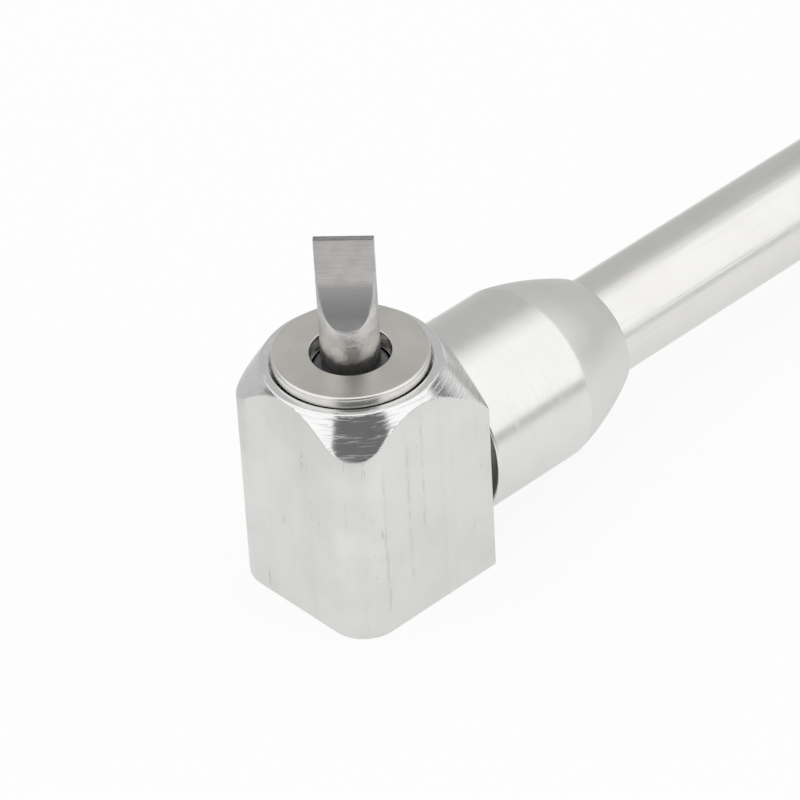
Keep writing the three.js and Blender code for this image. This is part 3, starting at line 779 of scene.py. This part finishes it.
def score_lines_group():
    """Thin broken scratches that run along one direction."""
    tree, nodes, given, out = new_group(
        "score_lines",
        [("Place", "Vector"), ("Spread", "Vector"), ("Width", "Float")],
        [("Scores", "Float")],
    )
    place = nodes.vector("MULTIPLY", given["Place"], given["Spread"])
    level = nodes.noise(place, 1.0, 1.0, 0.4)
    near = nodes.calc("ABSOLUTE", nodes.calc("SUBTRACT", level, 0.5))
    line = nodes.calc("SUBTRACT", 1.0, nodes.ease(near, 0.0, given["Width"]))
    broken = nodes.ease(nodes.noise(given["Place"], 0.33, 3.0, 0.6), 0.54, 0.66)
    nodes.tree.links.new(nodes.calc("MULTIPLY", line, broken), out["Scores"])
    return tree


def edge_wear_group():
    """A mask of the outer edges, where handling brightens the metal."""
    tree, nodes, given, out = new_group(
        "edge_wear",
        [("Place", "Vector"), ("Reach", "Float")],
        [("Wear", "Float")],
    )
    bend = nodes.add("NewGeometry").outputs["Pointiness"]
    mask = nodes.ease(bend, 0.505, given["Reach"])
    patchy = nodes.ease(nodes.noise(given["Place"], 1.7, 3.0, 0.6), 0.3, 0.6)
    nodes.tree.links.new(nodes.calc("MULTIPLY", mask, patchy), out["Wear"])
    return tree


turning_lines = turning_lines_group()
drawn_lines = drawn_lines_group()
metal_grain = metal_grain_group()
handling_marks = handling_marks_group()
score_lines = score_lines_group()
edge_wear = edge_wear_group()


def new_finish(name):
    """A material with one shader, and its place in millimetres."""
    material = bpy.data.materials.new(name)
    material.use_nodes = True
    nodes = Nodes(material.node_tree)
    shader = material.node_tree.nodes["Principled BSDF"]
    spot = nodes.add("TexCoord").outputs["Object"]
    return material, nodes, shader, nodes.vector("SCALE", spot, 1 / MM)


def about_shaft(nodes, place):
    """The same place seen along the shaft's line, which becomes Z."""
    apart = nodes.add("SeparateXYZ", {0: place}).outputs
    drop = nodes.calc("SUBTRACT", SHAFT_HEIGHT, apart[2])
    return nodes.add("CombineXYZ", {0: drop, 1: apart[1], 2: apart[0]}).outputs[0]


def joined(nodes, shader, colour, roughness, height, depth):
    """Feeds the shader its colour, roughness and relief."""
    links = nodes.tree.links
    links.new(colour, shader.inputs["Base Color"])
    links.new(roughness, shader.inputs["Roughness"])
    bump = nodes.add("Bump", {"Strength": 1.0, "Distance": depth, "Height": height})
    links.new(bump.outputs["Normal"], shader.inputs["Normal"])


def mixed_sum(nodes, *parts):
    """Sum of (value, weight) pairs."""
    total = None
    for value, weight in parts:
        term = nodes.calc("MULTIPLY", value, weight)
        total = term if total is None else nodes.calc("ADD", total, term)
    return total


def side_scores(nodes, place):
    """The long upright scores on the block's side face, each given by its place, foot and top."""
    apart = nodes.add("SeparateXYZ", {0: place}).outputs
    upright = nodes.vector("MULTIPLY", place, (0.0, 0.0, 1.0))
    sway = nodes.calc("MULTIPLY", nodes.calc("SUBTRACT", nodes.noise(upright, 0.3, 2.0), 0.5), 0.9)
    swayed = nodes.calc("ADD", apart[0], sway)
    total = None
    for along, foot, top in SIDE_SCORES:
        off = nodes.calc("ABSOLUTE", nodes.calc("SUBTRACT", swayed, along))
        line = nodes.ease(off, 0.03, 0.3, 1.0, 0.0)
        line = nodes.calc("MULTIPLY", line, nodes.ease(apart[2], foot, foot + 3.0))
        line = nodes.calc("MULTIPLY", line, nodes.ease(apart[2], top - 3.0, top, 1.0, 0.0))
        total = line if total is None else nodes.calc("MAXIMUM", total, line)
    broken = nodes.ease(nodes.noise(place, 0.6, 3.0, 0.6), 0.4, 0.56, 0.25, 1.0)
    side = nodes.ease(apart[1], -HEAD_HALF_WIDTH + 0.02, -HEAD_HALF_WIDTH + 0.1, 1.0, 0.0)
    return nodes.calc("MULTIPLY", nodes.calc("MULTIPLY", total, broken), side)


def drawn_block_finish():
    """Side faces of the block: dull drawn aluminium with upright score lines."""
    material, nodes, shader, place = new_finish("drawn_block_aluminium")
    shader.inputs["Metallic"].default_value = 1.0
    marks = nodes.placed(handling_marks, Place=place, Size=6.0)
    grain = nodes.placed(metal_grain, Place=place, Fineness=7.0)
    lines = nodes.placed(drawn_lines, Place=place, Spread=(2.4, 2.4, 0.03))
    scores = nodes.placed(score_lines, Place=place, Spread=(0.8, 0.8, 0.016), Width=0.011)
    wear = nodes.placed(edge_wear, Place=place, Reach=0.56)
    clean = nodes.tint(marks["Cloud"], (0.81, 0.805, 0.787, 1), (0.785, 0.78, 0.76, 1))
    streaked = nodes.tint(nodes.ease(lines["Streaks"], 0.5, 0.75, 0.0, 0.5), clean, (0.745, 0.74, 0.72, 1))
    long_scores = side_scores(nodes, place)
    scored = nodes.tint(nodes.calc("MULTIPLY", scores["Scores"], 0.5), streaked, (0.4, 0.4, 0.39, 1))
    scored = nodes.tint(nodes.calc("MULTIPLY", long_scores, 0.3), scored, (0.5, 0.5, 0.49, 1))
    pitted = nodes.tint(nodes.calc("MULTIPLY", grain["Pits"], 0.6), scored, (0.45, 0.45, 0.44, 1))
    colour = nodes.tint(nodes.calc("MULTIPLY", wear["Wear"], 0.5), pitted, (0.86, 0.86, 0.85, 1))
    roughness = mixed_sum(nodes, (marks["Cloud"], 0.1), (lines["Lines"], 0.08), (grain["Grain"], 0.08))
    roughness = nodes.calc("ADD", roughness, 0.27)
    height = mixed_sum(
        nodes, (lines["Lines"], 0.35), (grain["Grain"], 0.25), (scores["Scores"], -0.8), (grain["Pits"], -0.6)
    )
    joined(nodes, shader, colour, roughness, height, 0.000012)
    return material


def turned_taper_finish():
    """The head's taper and land: bright turned aluminium with clear rings."""
    material, nodes, shader, place = new_finish("turned_taper_aluminium")
    shader.inputs["Metallic"].default_value = 1.0
    rings = nodes.placed(turning_lines, Place=place, Fineness=4.0, Drift=3.4)
    marks = nodes.placed(handling_marks, Place=place, Size=4.0)
    grain = nodes.placed(metal_grain, Place=place, Fineness=9.0)
    clean = nodes.tint(marks["Smear"], (0.83, 0.83, 0.825, 1), (0.79, 0.79, 0.785, 1))
    ringed = nodes.tint(nodes.ease(rings["Lines"], 0.56, 0.74, 0.0, 0.2), clean, (0.66, 0.66, 0.65, 1))
    colour = nodes.tint(nodes.calc("MULTIPLY", grain["Pits"], 0.3), ringed, (0.5, 0.5, 0.49, 1))
    torn = nodes.ease(rings["Lines"], 0.5, 0.66)
    roughness = mixed_sum(nodes, (torn, 0.28), (marks["Cloud"], 0.02))
    roughness = nodes.calc("ADD", roughness, 0.1)
    height = mixed_sum(nodes, (rings["Lines"], 1.0), (rings["Bands"], 0.5), (grain["Grain"], 0.03))
    joined(nodes, shader, colour, roughness, height, 0.000032)
    return material


def faced_cap_finish():
    """The cap: faced aluminium with close rings and a satin face, whose colour is darker than the rim's as
    painted shade.
    """
    material, nodes, shader, place = new_finish("faced_cap_aluminium")
    shader.inputs["Metallic"].default_value = 1.0
    shader.inputs["Anisotropic"].default_value = 0.4
    tangent = nodes.add("Tangent", direction_type="RADIAL", axis="Z").outputs[0]
    nodes.tree.links.new(tangent, shader.inputs["Tangent"])
    rings = nodes.placed(turning_lines, Place=place, Fineness=16.0, Drift=0.8)
    marks = nodes.placed(handling_marks, Place=place, Size=4.0)
    grain = nodes.placed(metal_grain, Place=place, Fineness=10.0)
    scores = nodes.placed(score_lines, Place=place, Spread=(1.6, 0.22, 0.5), Width=0.012)
    station = nodes.add("SeparateXYZ", {0: place}).outputs[2]
    face = nodes.ease(station, CAP_TOP - 0.05, CAP_TOP - 0.01)
    # The top face gets a darker colour than the rim and side: painted shade. Its higher roughness further
    # down is its real satin finish.
    bright = nodes.tint(marks["Cloud"], (0.80, 0.79, 0.767, 1), (0.76, 0.75, 0.727, 1))
    satin = nodes.tint(marks["Cloud"], (0.67, 0.652, 0.613, 1), (0.625, 0.606, 0.57, 1))
    clean = nodes.tint(face, bright, satin)
    ringed = nodes.tint(nodes.ease(rings["Lines"], 0.5, 0.72, 0.0, 0.3), clean, (0.62, 0.607, 0.58, 1))
    scored = nodes.tint(nodes.calc("MULTIPLY", scores["Scores"], 0.25), ringed, (0.9, 0.9, 0.88, 1))
    colour = nodes.tint(nodes.calc("MULTIPLY", grain["Pits"], 0.4), scored, (0.5, 0.5, 0.49, 1))
    roughness = mixed_sum(nodes, (rings["Bands"], 0.05), (marks["Smear"], 0.04), (grain["Grain"], 0.03))
    roughness = nodes.calc("ADD", roughness, nodes.ease(face, 0.0, 1.0, 0.2, 0.29))
    height = mixed_sum(nodes, (rings["Lines"], 0.6), (grain["Grain"], 0.1), (scores["Scores"], -0.3))
    joined(nodes, shader, colour, roughness, height, 0.000005)
    return material


def turned_shaft_finish(name, fineness, base, dull, low_roughness, coarse_start=None):
    """Turned aluminium whose rings run round the shaft's line, with a coarser cut past the start given."""
    material, nodes, shader, place = new_finish(name)
    shader.inputs["Metallic"].default_value = 1.0
    shader.inputs["Anisotropic"].default_value = 0.35
    tangent = nodes.add("Tangent", direction_type="RADIAL", axis="X").outputs[0]
    nodes.tree.links.new(tangent, shader.inputs["Tangent"])
    lathe = about_shaft(nodes, place)
    rings = nodes.placed(turning_lines, Place=lathe, Fineness=fineness, Drift=1.0)
    marks = nodes.placed(handling_marks, Place=place, Size=6.0)
    grain = nodes.placed(metal_grain, Place=place, Fineness=8.0)
    wear = nodes.placed(edge_wear, Place=place, Reach=0.57)
    clean = nodes.tint(marks["Cloud"], base, dull)
    ringed = nodes.tint(nodes.ease(rings["Lines"], 0.55, 0.75, 0.0, 0.35), clean, (0.68, 0.68, 0.67, 1))
    pitted = nodes.tint(nodes.calc("MULTIPLY", grain["Pits"], 0.35), ringed, (0.45, 0.45, 0.44, 1))
    colour = nodes.tint(nodes.calc("MULTIPLY", wear["Wear"], 0.5), pitted, (0.88, 0.88, 0.87, 1))
    roughness = mixed_sum(nodes, (rings["Bands"], 0.1), (marks["Smear"], 0.08), (grain["Grain"], 0.04))
    roughness = nodes.calc("ADD", roughness, low_roughness)
    if coarse_start is not None:
        station = nodes.add("SeparateXYZ", {0: place}).outputs[0]
        coarse = nodes.ease(station, coarse_start - 0.1, coarse_start + 0.3, 0.0, COARSE_CUT_ROUGHNESS)
        roughness = nodes.calc("ADD", roughness, coarse)
    height = mixed_sum(nodes, (rings["Lines"], 0.7), (rings["Bands"], 0.4), (grain["Grain"], 0.1))
    joined(nodes, shader, colour, roughness, height, 0.000008)
    return material


def drawn_tube_finish():
    """The tube: drawn aluminium with long fine lines."""
    material, nodes, shader, place = new_finish("drawn_tube_aluminium")
    shader.inputs["Metallic"].default_value = 1.0
    lines = nodes.placed(drawn_lines, Place=place, Spread=(0.07, 1.5, 1.5))
    waves = nodes.placed(drawn_lines, Place=place, Spread=(0.07, 0.9, 0.9))
    marks = nodes.placed(handling_marks, Place=place, Size=9.0)
    clean = nodes.tint(marks["Cloud"], (0.81, 0.803, 0.778, 1), (0.785, 0.777, 0.75, 1))
    colour = nodes.tint(nodes.ease(lines["Lines"], 0.52, 0.74, 0.0, 0.25), clean, (0.70, 0.692, 0.667, 1))
    roughness = mixed_sum(nodes, (lines["Streaks"], 0.1), (marks["Smear"], 0.05))
    roughness = nodes.calc("ADD", roughness, 0.17)
    height = mixed_sum(nodes, (lines["Lines"], 0.9), (lines["Streaks"], 0.2), (waves["Lines"], 0.4))
    joined(nodes, shader, colour, roughness, height, 0.00003)
    return material


def ground_steel_finish():
    """The blade: ground steel with lines across the flats, and a darker colour in the hollow run-out below
    them as painted shade.
    """
    material, nodes, shader, place = new_finish("ground_blade_steel")
    shader.inputs["Metallic"].default_value = 1.0
    lines = nodes.placed(drawn_lines, Place=place, Spread=(0.25, 0.25, 7.0))
    marks = nodes.placed(handling_marks, Place=place, Size=1.6)
    grain = nodes.placed(metal_grain, Place=place, Fineness=9.0)
    wear = nodes.placed(edge_wear, Place=place, Reach=0.6)
    apart = nodes.add("SeparateXYZ", {0: place}).outputs
    flat = nodes.add("CombineXYZ", {0: apart[0], 1: apart[1]}).outputs[0]
    round_skin = nodes.ease(nodes.vector("LENGTH", flat), 2.9, 2.97)
    upper = nodes.ease(apart[2], 35.9, 36.9)
    tip = nodes.ease(apart[2], BLADE_TIP - 0.06, BLADE_TIP - 0.02)
    # Below the flats the hollow run-out gets a darker colour than the flats: painted shade.
    ground = nodes.tint(upper, (0.49, 0.48, 0.482, 1), (0.73, 0.717, 0.70, 1))
    stained = nodes.tint(nodes.calc("MULTIPLY", marks["Cloud"], 0.3), ground, (0.5, 0.49, 0.483, 1))
    lined = nodes.tint(nodes.ease(lines["Lines"], 0.45, 0.7, 0.0, 0.3), stained, (0.44, 0.432, 0.428, 1))
    lined = nodes.tint(tip, lined, (0.29, 0.285, 0.283, 1))
    satin = nodes.tint(marks["Cloud"], (0.70, 0.695, 0.685, 1), (0.58, 0.575, 0.565, 1))
    clean = nodes.tint(round_skin, lined, satin)
    pitted = nodes.tint(nodes.calc("MULTIPLY", grain["Pits"], 0.5), clean, (0.25, 0.24, 0.24, 1))
    colour = nodes.tint(nodes.calc("MULTIPLY", wear["Wear"], 0.6), pitted, (0.62, 0.61, 0.6, 1))
    roughness = mixed_sum(nodes, (lines["Streaks"], 0.1), (marks["Smear"], 0.1), (grain["Grain"], 0.08))
    roughness = nodes.calc("ADD", roughness, nodes.ease(round_skin, 0.0, 1.0, 0.36, 0.2))
    worn_round = nodes.calc("MULTIPLY", round_skin, marks["Cloud"])
    height = mixed_sum(nodes, (lines["Lines"], 0.7), (grain["Grain"], 0.4), (worn_round, 3.0))
    joined(nodes, shader, colour, roughness, height, 0.000012)
    return material


def plain_metal_finish(name, base, dull, low_roughness, fineness):
    """Small turned parts: one metal with faint rings, cloudy marks and pits."""
    material, nodes, shader, place = new_finish(name)
    shader.inputs["Metallic"].default_value = 1.0
    rings = nodes.placed(turning_lines, Place=place, Fineness=fineness, Drift=0.8)
    marks = nodes.placed(handling_marks, Place=place, Size=2.5)
    grain = nodes.placed(metal_grain, Place=place, Fineness=11.0)
    clean = nodes.tint(marks["Cloud"], base, dull)
    worn = tuple(0.6 * part for part in dull[:3]) + (1,)
    colour = nodes.tint(nodes.calc("MULTIPLY", grain["Pits"], 0.5), clean, worn)
    roughness = mixed_sum(nodes, (rings["Bands"], 0.1), (marks["Smear"], 0.1), (grain["Grain"], 0.06))
    roughness = nodes.calc("ADD", roughness, low_roughness)
    height = mixed_sum(nodes, (rings["Lines"], 0.5), (grain["Grain"], 0.3))
    joined(nodes, shader, colour, roughness, height, 0.000006)
    return material


# Studio

PHOTO_WIDTH = 800
SENSOR_WIDTH = 36.0
FOCAL_LENGTH = 5265.46 / PHOTO_WIDTH * SENSOR_WIDTH
CAMERA_PLACE = Vector((-273.053, -311.213, 340.699)) * MM
CAMERA_RIGHT = Vector((0.71963045, -0.69286507, -0.04549751))
CAMERA_DOWN = Vector((-0.45026371, -0.41576904, -0.79018903))
CAMERA_AHEAD = Vector((0.52857792, 0.58912996, -0.61117205))
FLOOR_REACH = 12.0
FLOOR_DROP = 5e-5
WHITE_SHARE = 0.9
MIRRORED_WHITE_SHARE = 0.5
FRONT_WHITE_SHARE = 0.84
FRONT_HEADING = (-0.668, -0.744)
FRONT_FLOOR_START = 0.009
FRONT_FLOOR_END = 0.017
TOOL_MIDDLE = 0.14
NEAR_FLOOR = 0.03
FAR_FLOOR = 0.15
FAR_FLOOR_LIGHT = 0.6
BEHIND_STRETCH = 2.2
PANEL_LIGHT = 1.14
BEHIND_LIGHT = 0.56
CAMERA_SIDE_LIGHT = 0.17
DIM_SIDE_TURN = 8.0
DARK_GAP_LIGHT = 0.22
BELOW_HORIZON_LIGHT = 0.8

# Edges of the lights in degrees: rise above the floor, bearing from the camera's side.
OVERHEAD_RISE = (46.0, 60.0)
PANEL_FOOT_RISE = (-1.0, 6.0)
NEAR_EDGE_BEARING = (28.0, 31.5)
FAR_EDGE_RISE = (14.0, 40.0)
FAR_EDGE_BEARING = (97.0, 135.0)
FAR_EDGE_LEAD = 7.0
FAR_EDGE_TRAIL = (4.0, 25.0)
DIM_SIDE_BEARING = (36.0, 72.0)
DARK_GAP_START = (96.0, 99.0)
DARK_GAP_END = (112.0, 118.0)
DARK_GAP_TOP = (11.0, 17.0)
HORIZON_RISE = (-6.0, -1.0)


def photo_camera():
    """The camera at the photograph's angle."""
    data = bpy.data.cameras.new("photo_camera")
    data.sensor_width = SENSOR_WIDTH
    data.lens = FOCAL_LENGTH
    data.clip_start = 0.01
    data.clip_end = 100.0
    camera = bpy.data.objects.new("photo_camera", data)
    bpy.context.scene.collection.objects.link(camera)
    turn = Matrix((CAMERA_RIGHT, -CAMERA_DOWN, -CAMERA_AHEAD)).transposed().to_4x4()
    camera.matrix_world = Matrix.Translation(CAMERA_PLACE) @ turn
    bpy.context.scene.camera = camera


def studio_floor():
    """A wide pale floor that takes the soft shadow and shows white to the camera and in the metal."""
    mesh = bpy.data.meshes.new("studio_floor")
    corners = []
    for x, y in ((-1, -1), (1, -1), (1, 1), (-1, 1)):
        corners.append((x * FLOOR_REACH, y * FLOOR_REACH, -FLOOR_DROP))
    mesh.from_pydata(corners, [], [(0, 1, 2, 3)])
    floor = bpy.data.objects.new("studio_floor", mesh)
    bpy.context.scene.collection.objects.link(floor)
    material = bpy.data.materials.new("pale_floor")
    material.use_nodes = True
    nodes = Nodes(material.node_tree)
    material.node_tree.nodes.remove(material.node_tree.nodes["Principled BSDF"])
    paper = nodes.add("BsdfDiffuse", {"Color": (0.92, 0.92, 0.92, 1)}).outputs[0]
    ray = nodes.add("LightPath").outputs
    spot = nodes.add("SeparateXYZ", {0: nodes.add("NewGeometry").outputs["Position"]}).outputs
    along = nodes.calc("ABSOLUTE", nodes.calc("SUBTRACT", spot[0], TOOL_MIDDLE))
    past_end = nodes.calc("MAXIMUM", nodes.calc("SUBTRACT", along, TOOL_MIDDLE), 0.0)
    behind = nodes.calc("MULTIPLY", spot[1], BEHIND_STRETCH)
    before = nodes.calc("MULTIPLY", spot[1], -1.0)
    across = nodes.calc("MAXIMUM", behind, before)
    away = nodes.calc("SQRT", mixed_sum(
        nodes,
        (nodes.calc("MULTIPLY", past_end, past_end), 1.0),
        (nodes.calc("MULTIPLY", across, across), 1.0),
    ))
    distance = nodes.ease(away, NEAR_FLOOR, FAR_FLOOR)
    fading = nodes.ease(distance, 0.0, 1.0, 1.0, FAR_FLOOR_LIGHT)
    strength = nodes.calc("MAXIMUM", fading, ray["Is Camera Ray"])
    glow = nodes.add("Emission", {"Color": (1, 1, 1, 1), "Strength": strength}).outputs[0]
    mirrored = nodes.calc("ADD", ray["Is Glossy Ray"], ray["Is Transmission Ray"], clamp=True)
    mirrored_share = nodes.ease(distance, 0.0, 1.0, MIRRORED_WHITE_SHARE, 1.0)
    forward = mixed_sum(nodes, (spot[0], FRONT_HEADING[0]), (spot[1], FRONT_HEADING[1]))
    front_share = nodes.ease(forward, FRONT_FLOOR_START, FRONT_FLOOR_END, 0.0, FRONT_WHITE_SHARE)
    mirrored_share = nodes.calc("MAXIMUM", mirrored_share, front_share)
    direct_share = nodes.calc("MULTIPLY", ray["Is Camera Ray"], WHITE_SHARE)
    share = nodes.calc("ADD", direct_share, nodes.calc("MULTIPLY", mirrored, mirrored_share))
    lit = nodes.add("MixShader", {0: share, 1: paper, 2: glow}).outputs[0]
    clear = nodes.add("BsdfTransparent").outputs[0]
    under = nodes.add("NewGeometry").outputs["Backfacing"]
    whole = nodes.add("MixShader", {0: under, 1: lit, 2: clear}).outputs[0]
    nodes.tree.links.new(whole, material.node_tree.nodes["Material Output"].inputs["Surface"])
    mesh.materials.append(material)


def studio_world():
    """Soft boxes overhead and to both sides, a dim camera side and a grey wall behind."""
    world = bpy.data.worlds.new("soft_studio")
    bpy.context.scene.world = world
    world.use_nodes = True
    nodes = Nodes(world.node_tree)
    towards = nodes.add("TexCoord").outputs["Generated"]
    apart = nodes.add("SeparateXYZ", {0: towards}).outputs
    camera_side = Vector((-CAMERA_AHEAD.x, -CAMERA_AHEAD.y, 0)).normalized()
    right_side = Vector((CAMERA_RIGHT.x, CAMERA_RIGHT.y, 0)).normalized()
    near = nodes.vector("DOT_PRODUCT", towards, tuple(camera_side))
    aside = nodes.vector("DOT_PRODUCT", towards, tuple(right_side))
    heading = nodes.calc("DEGREES", nodes.calc("ARCTAN2", aside, near))
    bearing = nodes.calc("ABSOLUTE", heading)
    from_dim_side = nodes.calc("ABSOLUTE", nodes.calc("SUBTRACT", heading, DIM_SIDE_TURN))
    rise = nodes.calc("DEGREES", nodes.calc("ARCSINE", apart[2]))
    overhead = nodes.ease(rise, *OVERHEAD_RISE)
    far_edge = nodes.ease(rise, *FAR_EDGE_RISE, *FAR_EDGE_BEARING)
    edge_start = nodes.calc("SUBTRACT", far_edge, FAR_EDGE_LEAD)
    edge_end = nodes.calc("ADD", far_edge, nodes.ease(rise, *FAR_EDGE_RISE, *FAR_EDGE_TRAIL))
    near_edge = nodes.ease(from_dim_side, *NEAR_EDGE_BEARING)
    beside = nodes.calc("MULTIPLY", near_edge, nodes.ease(bearing, edge_start, edge_end, 1.0, 0.0))
    beside = nodes.calc("MULTIPLY", beside, nodes.ease(rise, *PANEL_FOOT_RISE))
    panel = nodes.calc("MAXIMUM", overhead, beside)
    wall = nodes.ease(from_dim_side, *DIM_SIDE_BEARING, CAMERA_SIDE_LIGHT, BEHIND_LIGHT)
    gap_start = nodes.ease(bearing, *DARK_GAP_START)
    gap_end = nodes.ease(bearing, *DARK_GAP_END, 1.0, 0.0)
    gap_top = nodes.ease(rise, *DARK_GAP_TOP, 1.0, 0.0)
    gap = nodes.calc("MULTIPLY", nodes.calc("MULTIPLY", gap_start, gap_end), gap_top)
    darkening = nodes.calc("SUBTRACT", DARK_GAP_LIGHT, wall)
    wall = nodes.calc("ADD", wall, nodes.calc("MULTIPLY", gap, darkening))
    below = nodes.ease(rise, *HORIZON_RISE, BELOW_HORIZON_LIGHT, 0.0)
    brightening = nodes.calc("SUBTRACT", PANEL_LIGHT, wall)
    level = nodes.calc("ADD", wall, nodes.calc("MULTIPLY", panel, brightening))
    level = nodes.calc("MAXIMUM", level, below)
    ray = nodes.add("LightPath").outputs
    level = nodes.calc("MAXIMUM", level, ray["Is Camera Ray"])
    background = world.node_tree.nodes["Background"]
    background.inputs["Color"].default_value = (1, 1, 1, 1)
    nodes.tree.links.new(level, background.inputs["Strength"])


# Assembly

block_walls = drawn_block_finish()
block_taper = turned_taper_finish()
cap_face = faced_cap_finish()
collar_skin = turned_shaft_finish(
    "turned_collar_aluminium", 7.0, (0.81, 0.805, 0.787, 1), (0.79, 0.785, 0.765, 1), 0.11, COLLAR_TAPER_START
)
knob_skin = turned_shaft_finish(
    "turned_knob_aluminium", 6.0, (0.80, 0.80, 0.79, 1), (0.73, 0.73, 0.715, 1), 0.2
)
tube_skin = drawn_tube_finish()
blade_steel = ground_steel_finish()
bright_steel = plain_metal_finish("bright_steel", (0.60, 0.60, 0.60, 1), (0.5, 0.5, 0.5, 1), 0.12, 9.0)
dark_steel = plain_metal_finish("dark_steel", (0.16, 0.16, 0.165, 1), (0.1, 0.1, 0.105, 1), 0.3, 9.0)
bronze = plain_metal_finish("bush_bronze", (0.62, 0.42, 0.2, 1), (0.5, 0.33, 0.15, 1), 0.25, 7.0)

SLOT_FINISH = {
    "drawn_aluminium": tube_skin,
    "turned_aluminium": collar_skin,
    "ground_steel": blade_steel,
    "bright_steel": bright_steel,
    "dark_steel": dark_steel,
    "bronze": bronze,
}

DRESSED = [
    (head_block, "head_housing", "head", "drawn_aluminium", block_walls),
    (cap, "cap_ring", "head", "turned_aluminium", cap_face),
    (blade, "blade_spindle", "spindle", "ground_steel", blade_steel),
    (circlip, "spindle_circlip", "spindle", "dark_steel", dark_steel),
    (bearing_inner, "bearing_inner_ring", "spindle", "bright_steel", bright_steel),
    (collar_sleeve, "collar", "head", "turned_aluminium", collar_skin),
    (long_tube, "outer_tube", "head", "drawn_aluminium", tube_skin),
    (rear_bush, "rear_shaft_bush", "head", "bronze", bronze),
    (rear_washer, "rear_thrust_washer", "drive", "bright_steel", bright_steel),
    (grip_knob, "knob", "drive", "turned_aluminium", knob_skin),
]

for make, node, body, slot, finish in DRESSED:
    piece = make()
    if not piece.data.materials:
        piece.data.materials.append(finish)
    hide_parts(node)
    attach(piece, body)

for entry in frame["record"]["subparts"]:
    shown = frame["nodes"][entry["node"]]
    shown.data.materials.clear()
    shown.data.materials.append(SLOT_FINISH[entry["material_slot"]])

photo_camera()
studio_floor()
studio_world()
bpy.context.scene.view_settings.view_transform = "Standard"
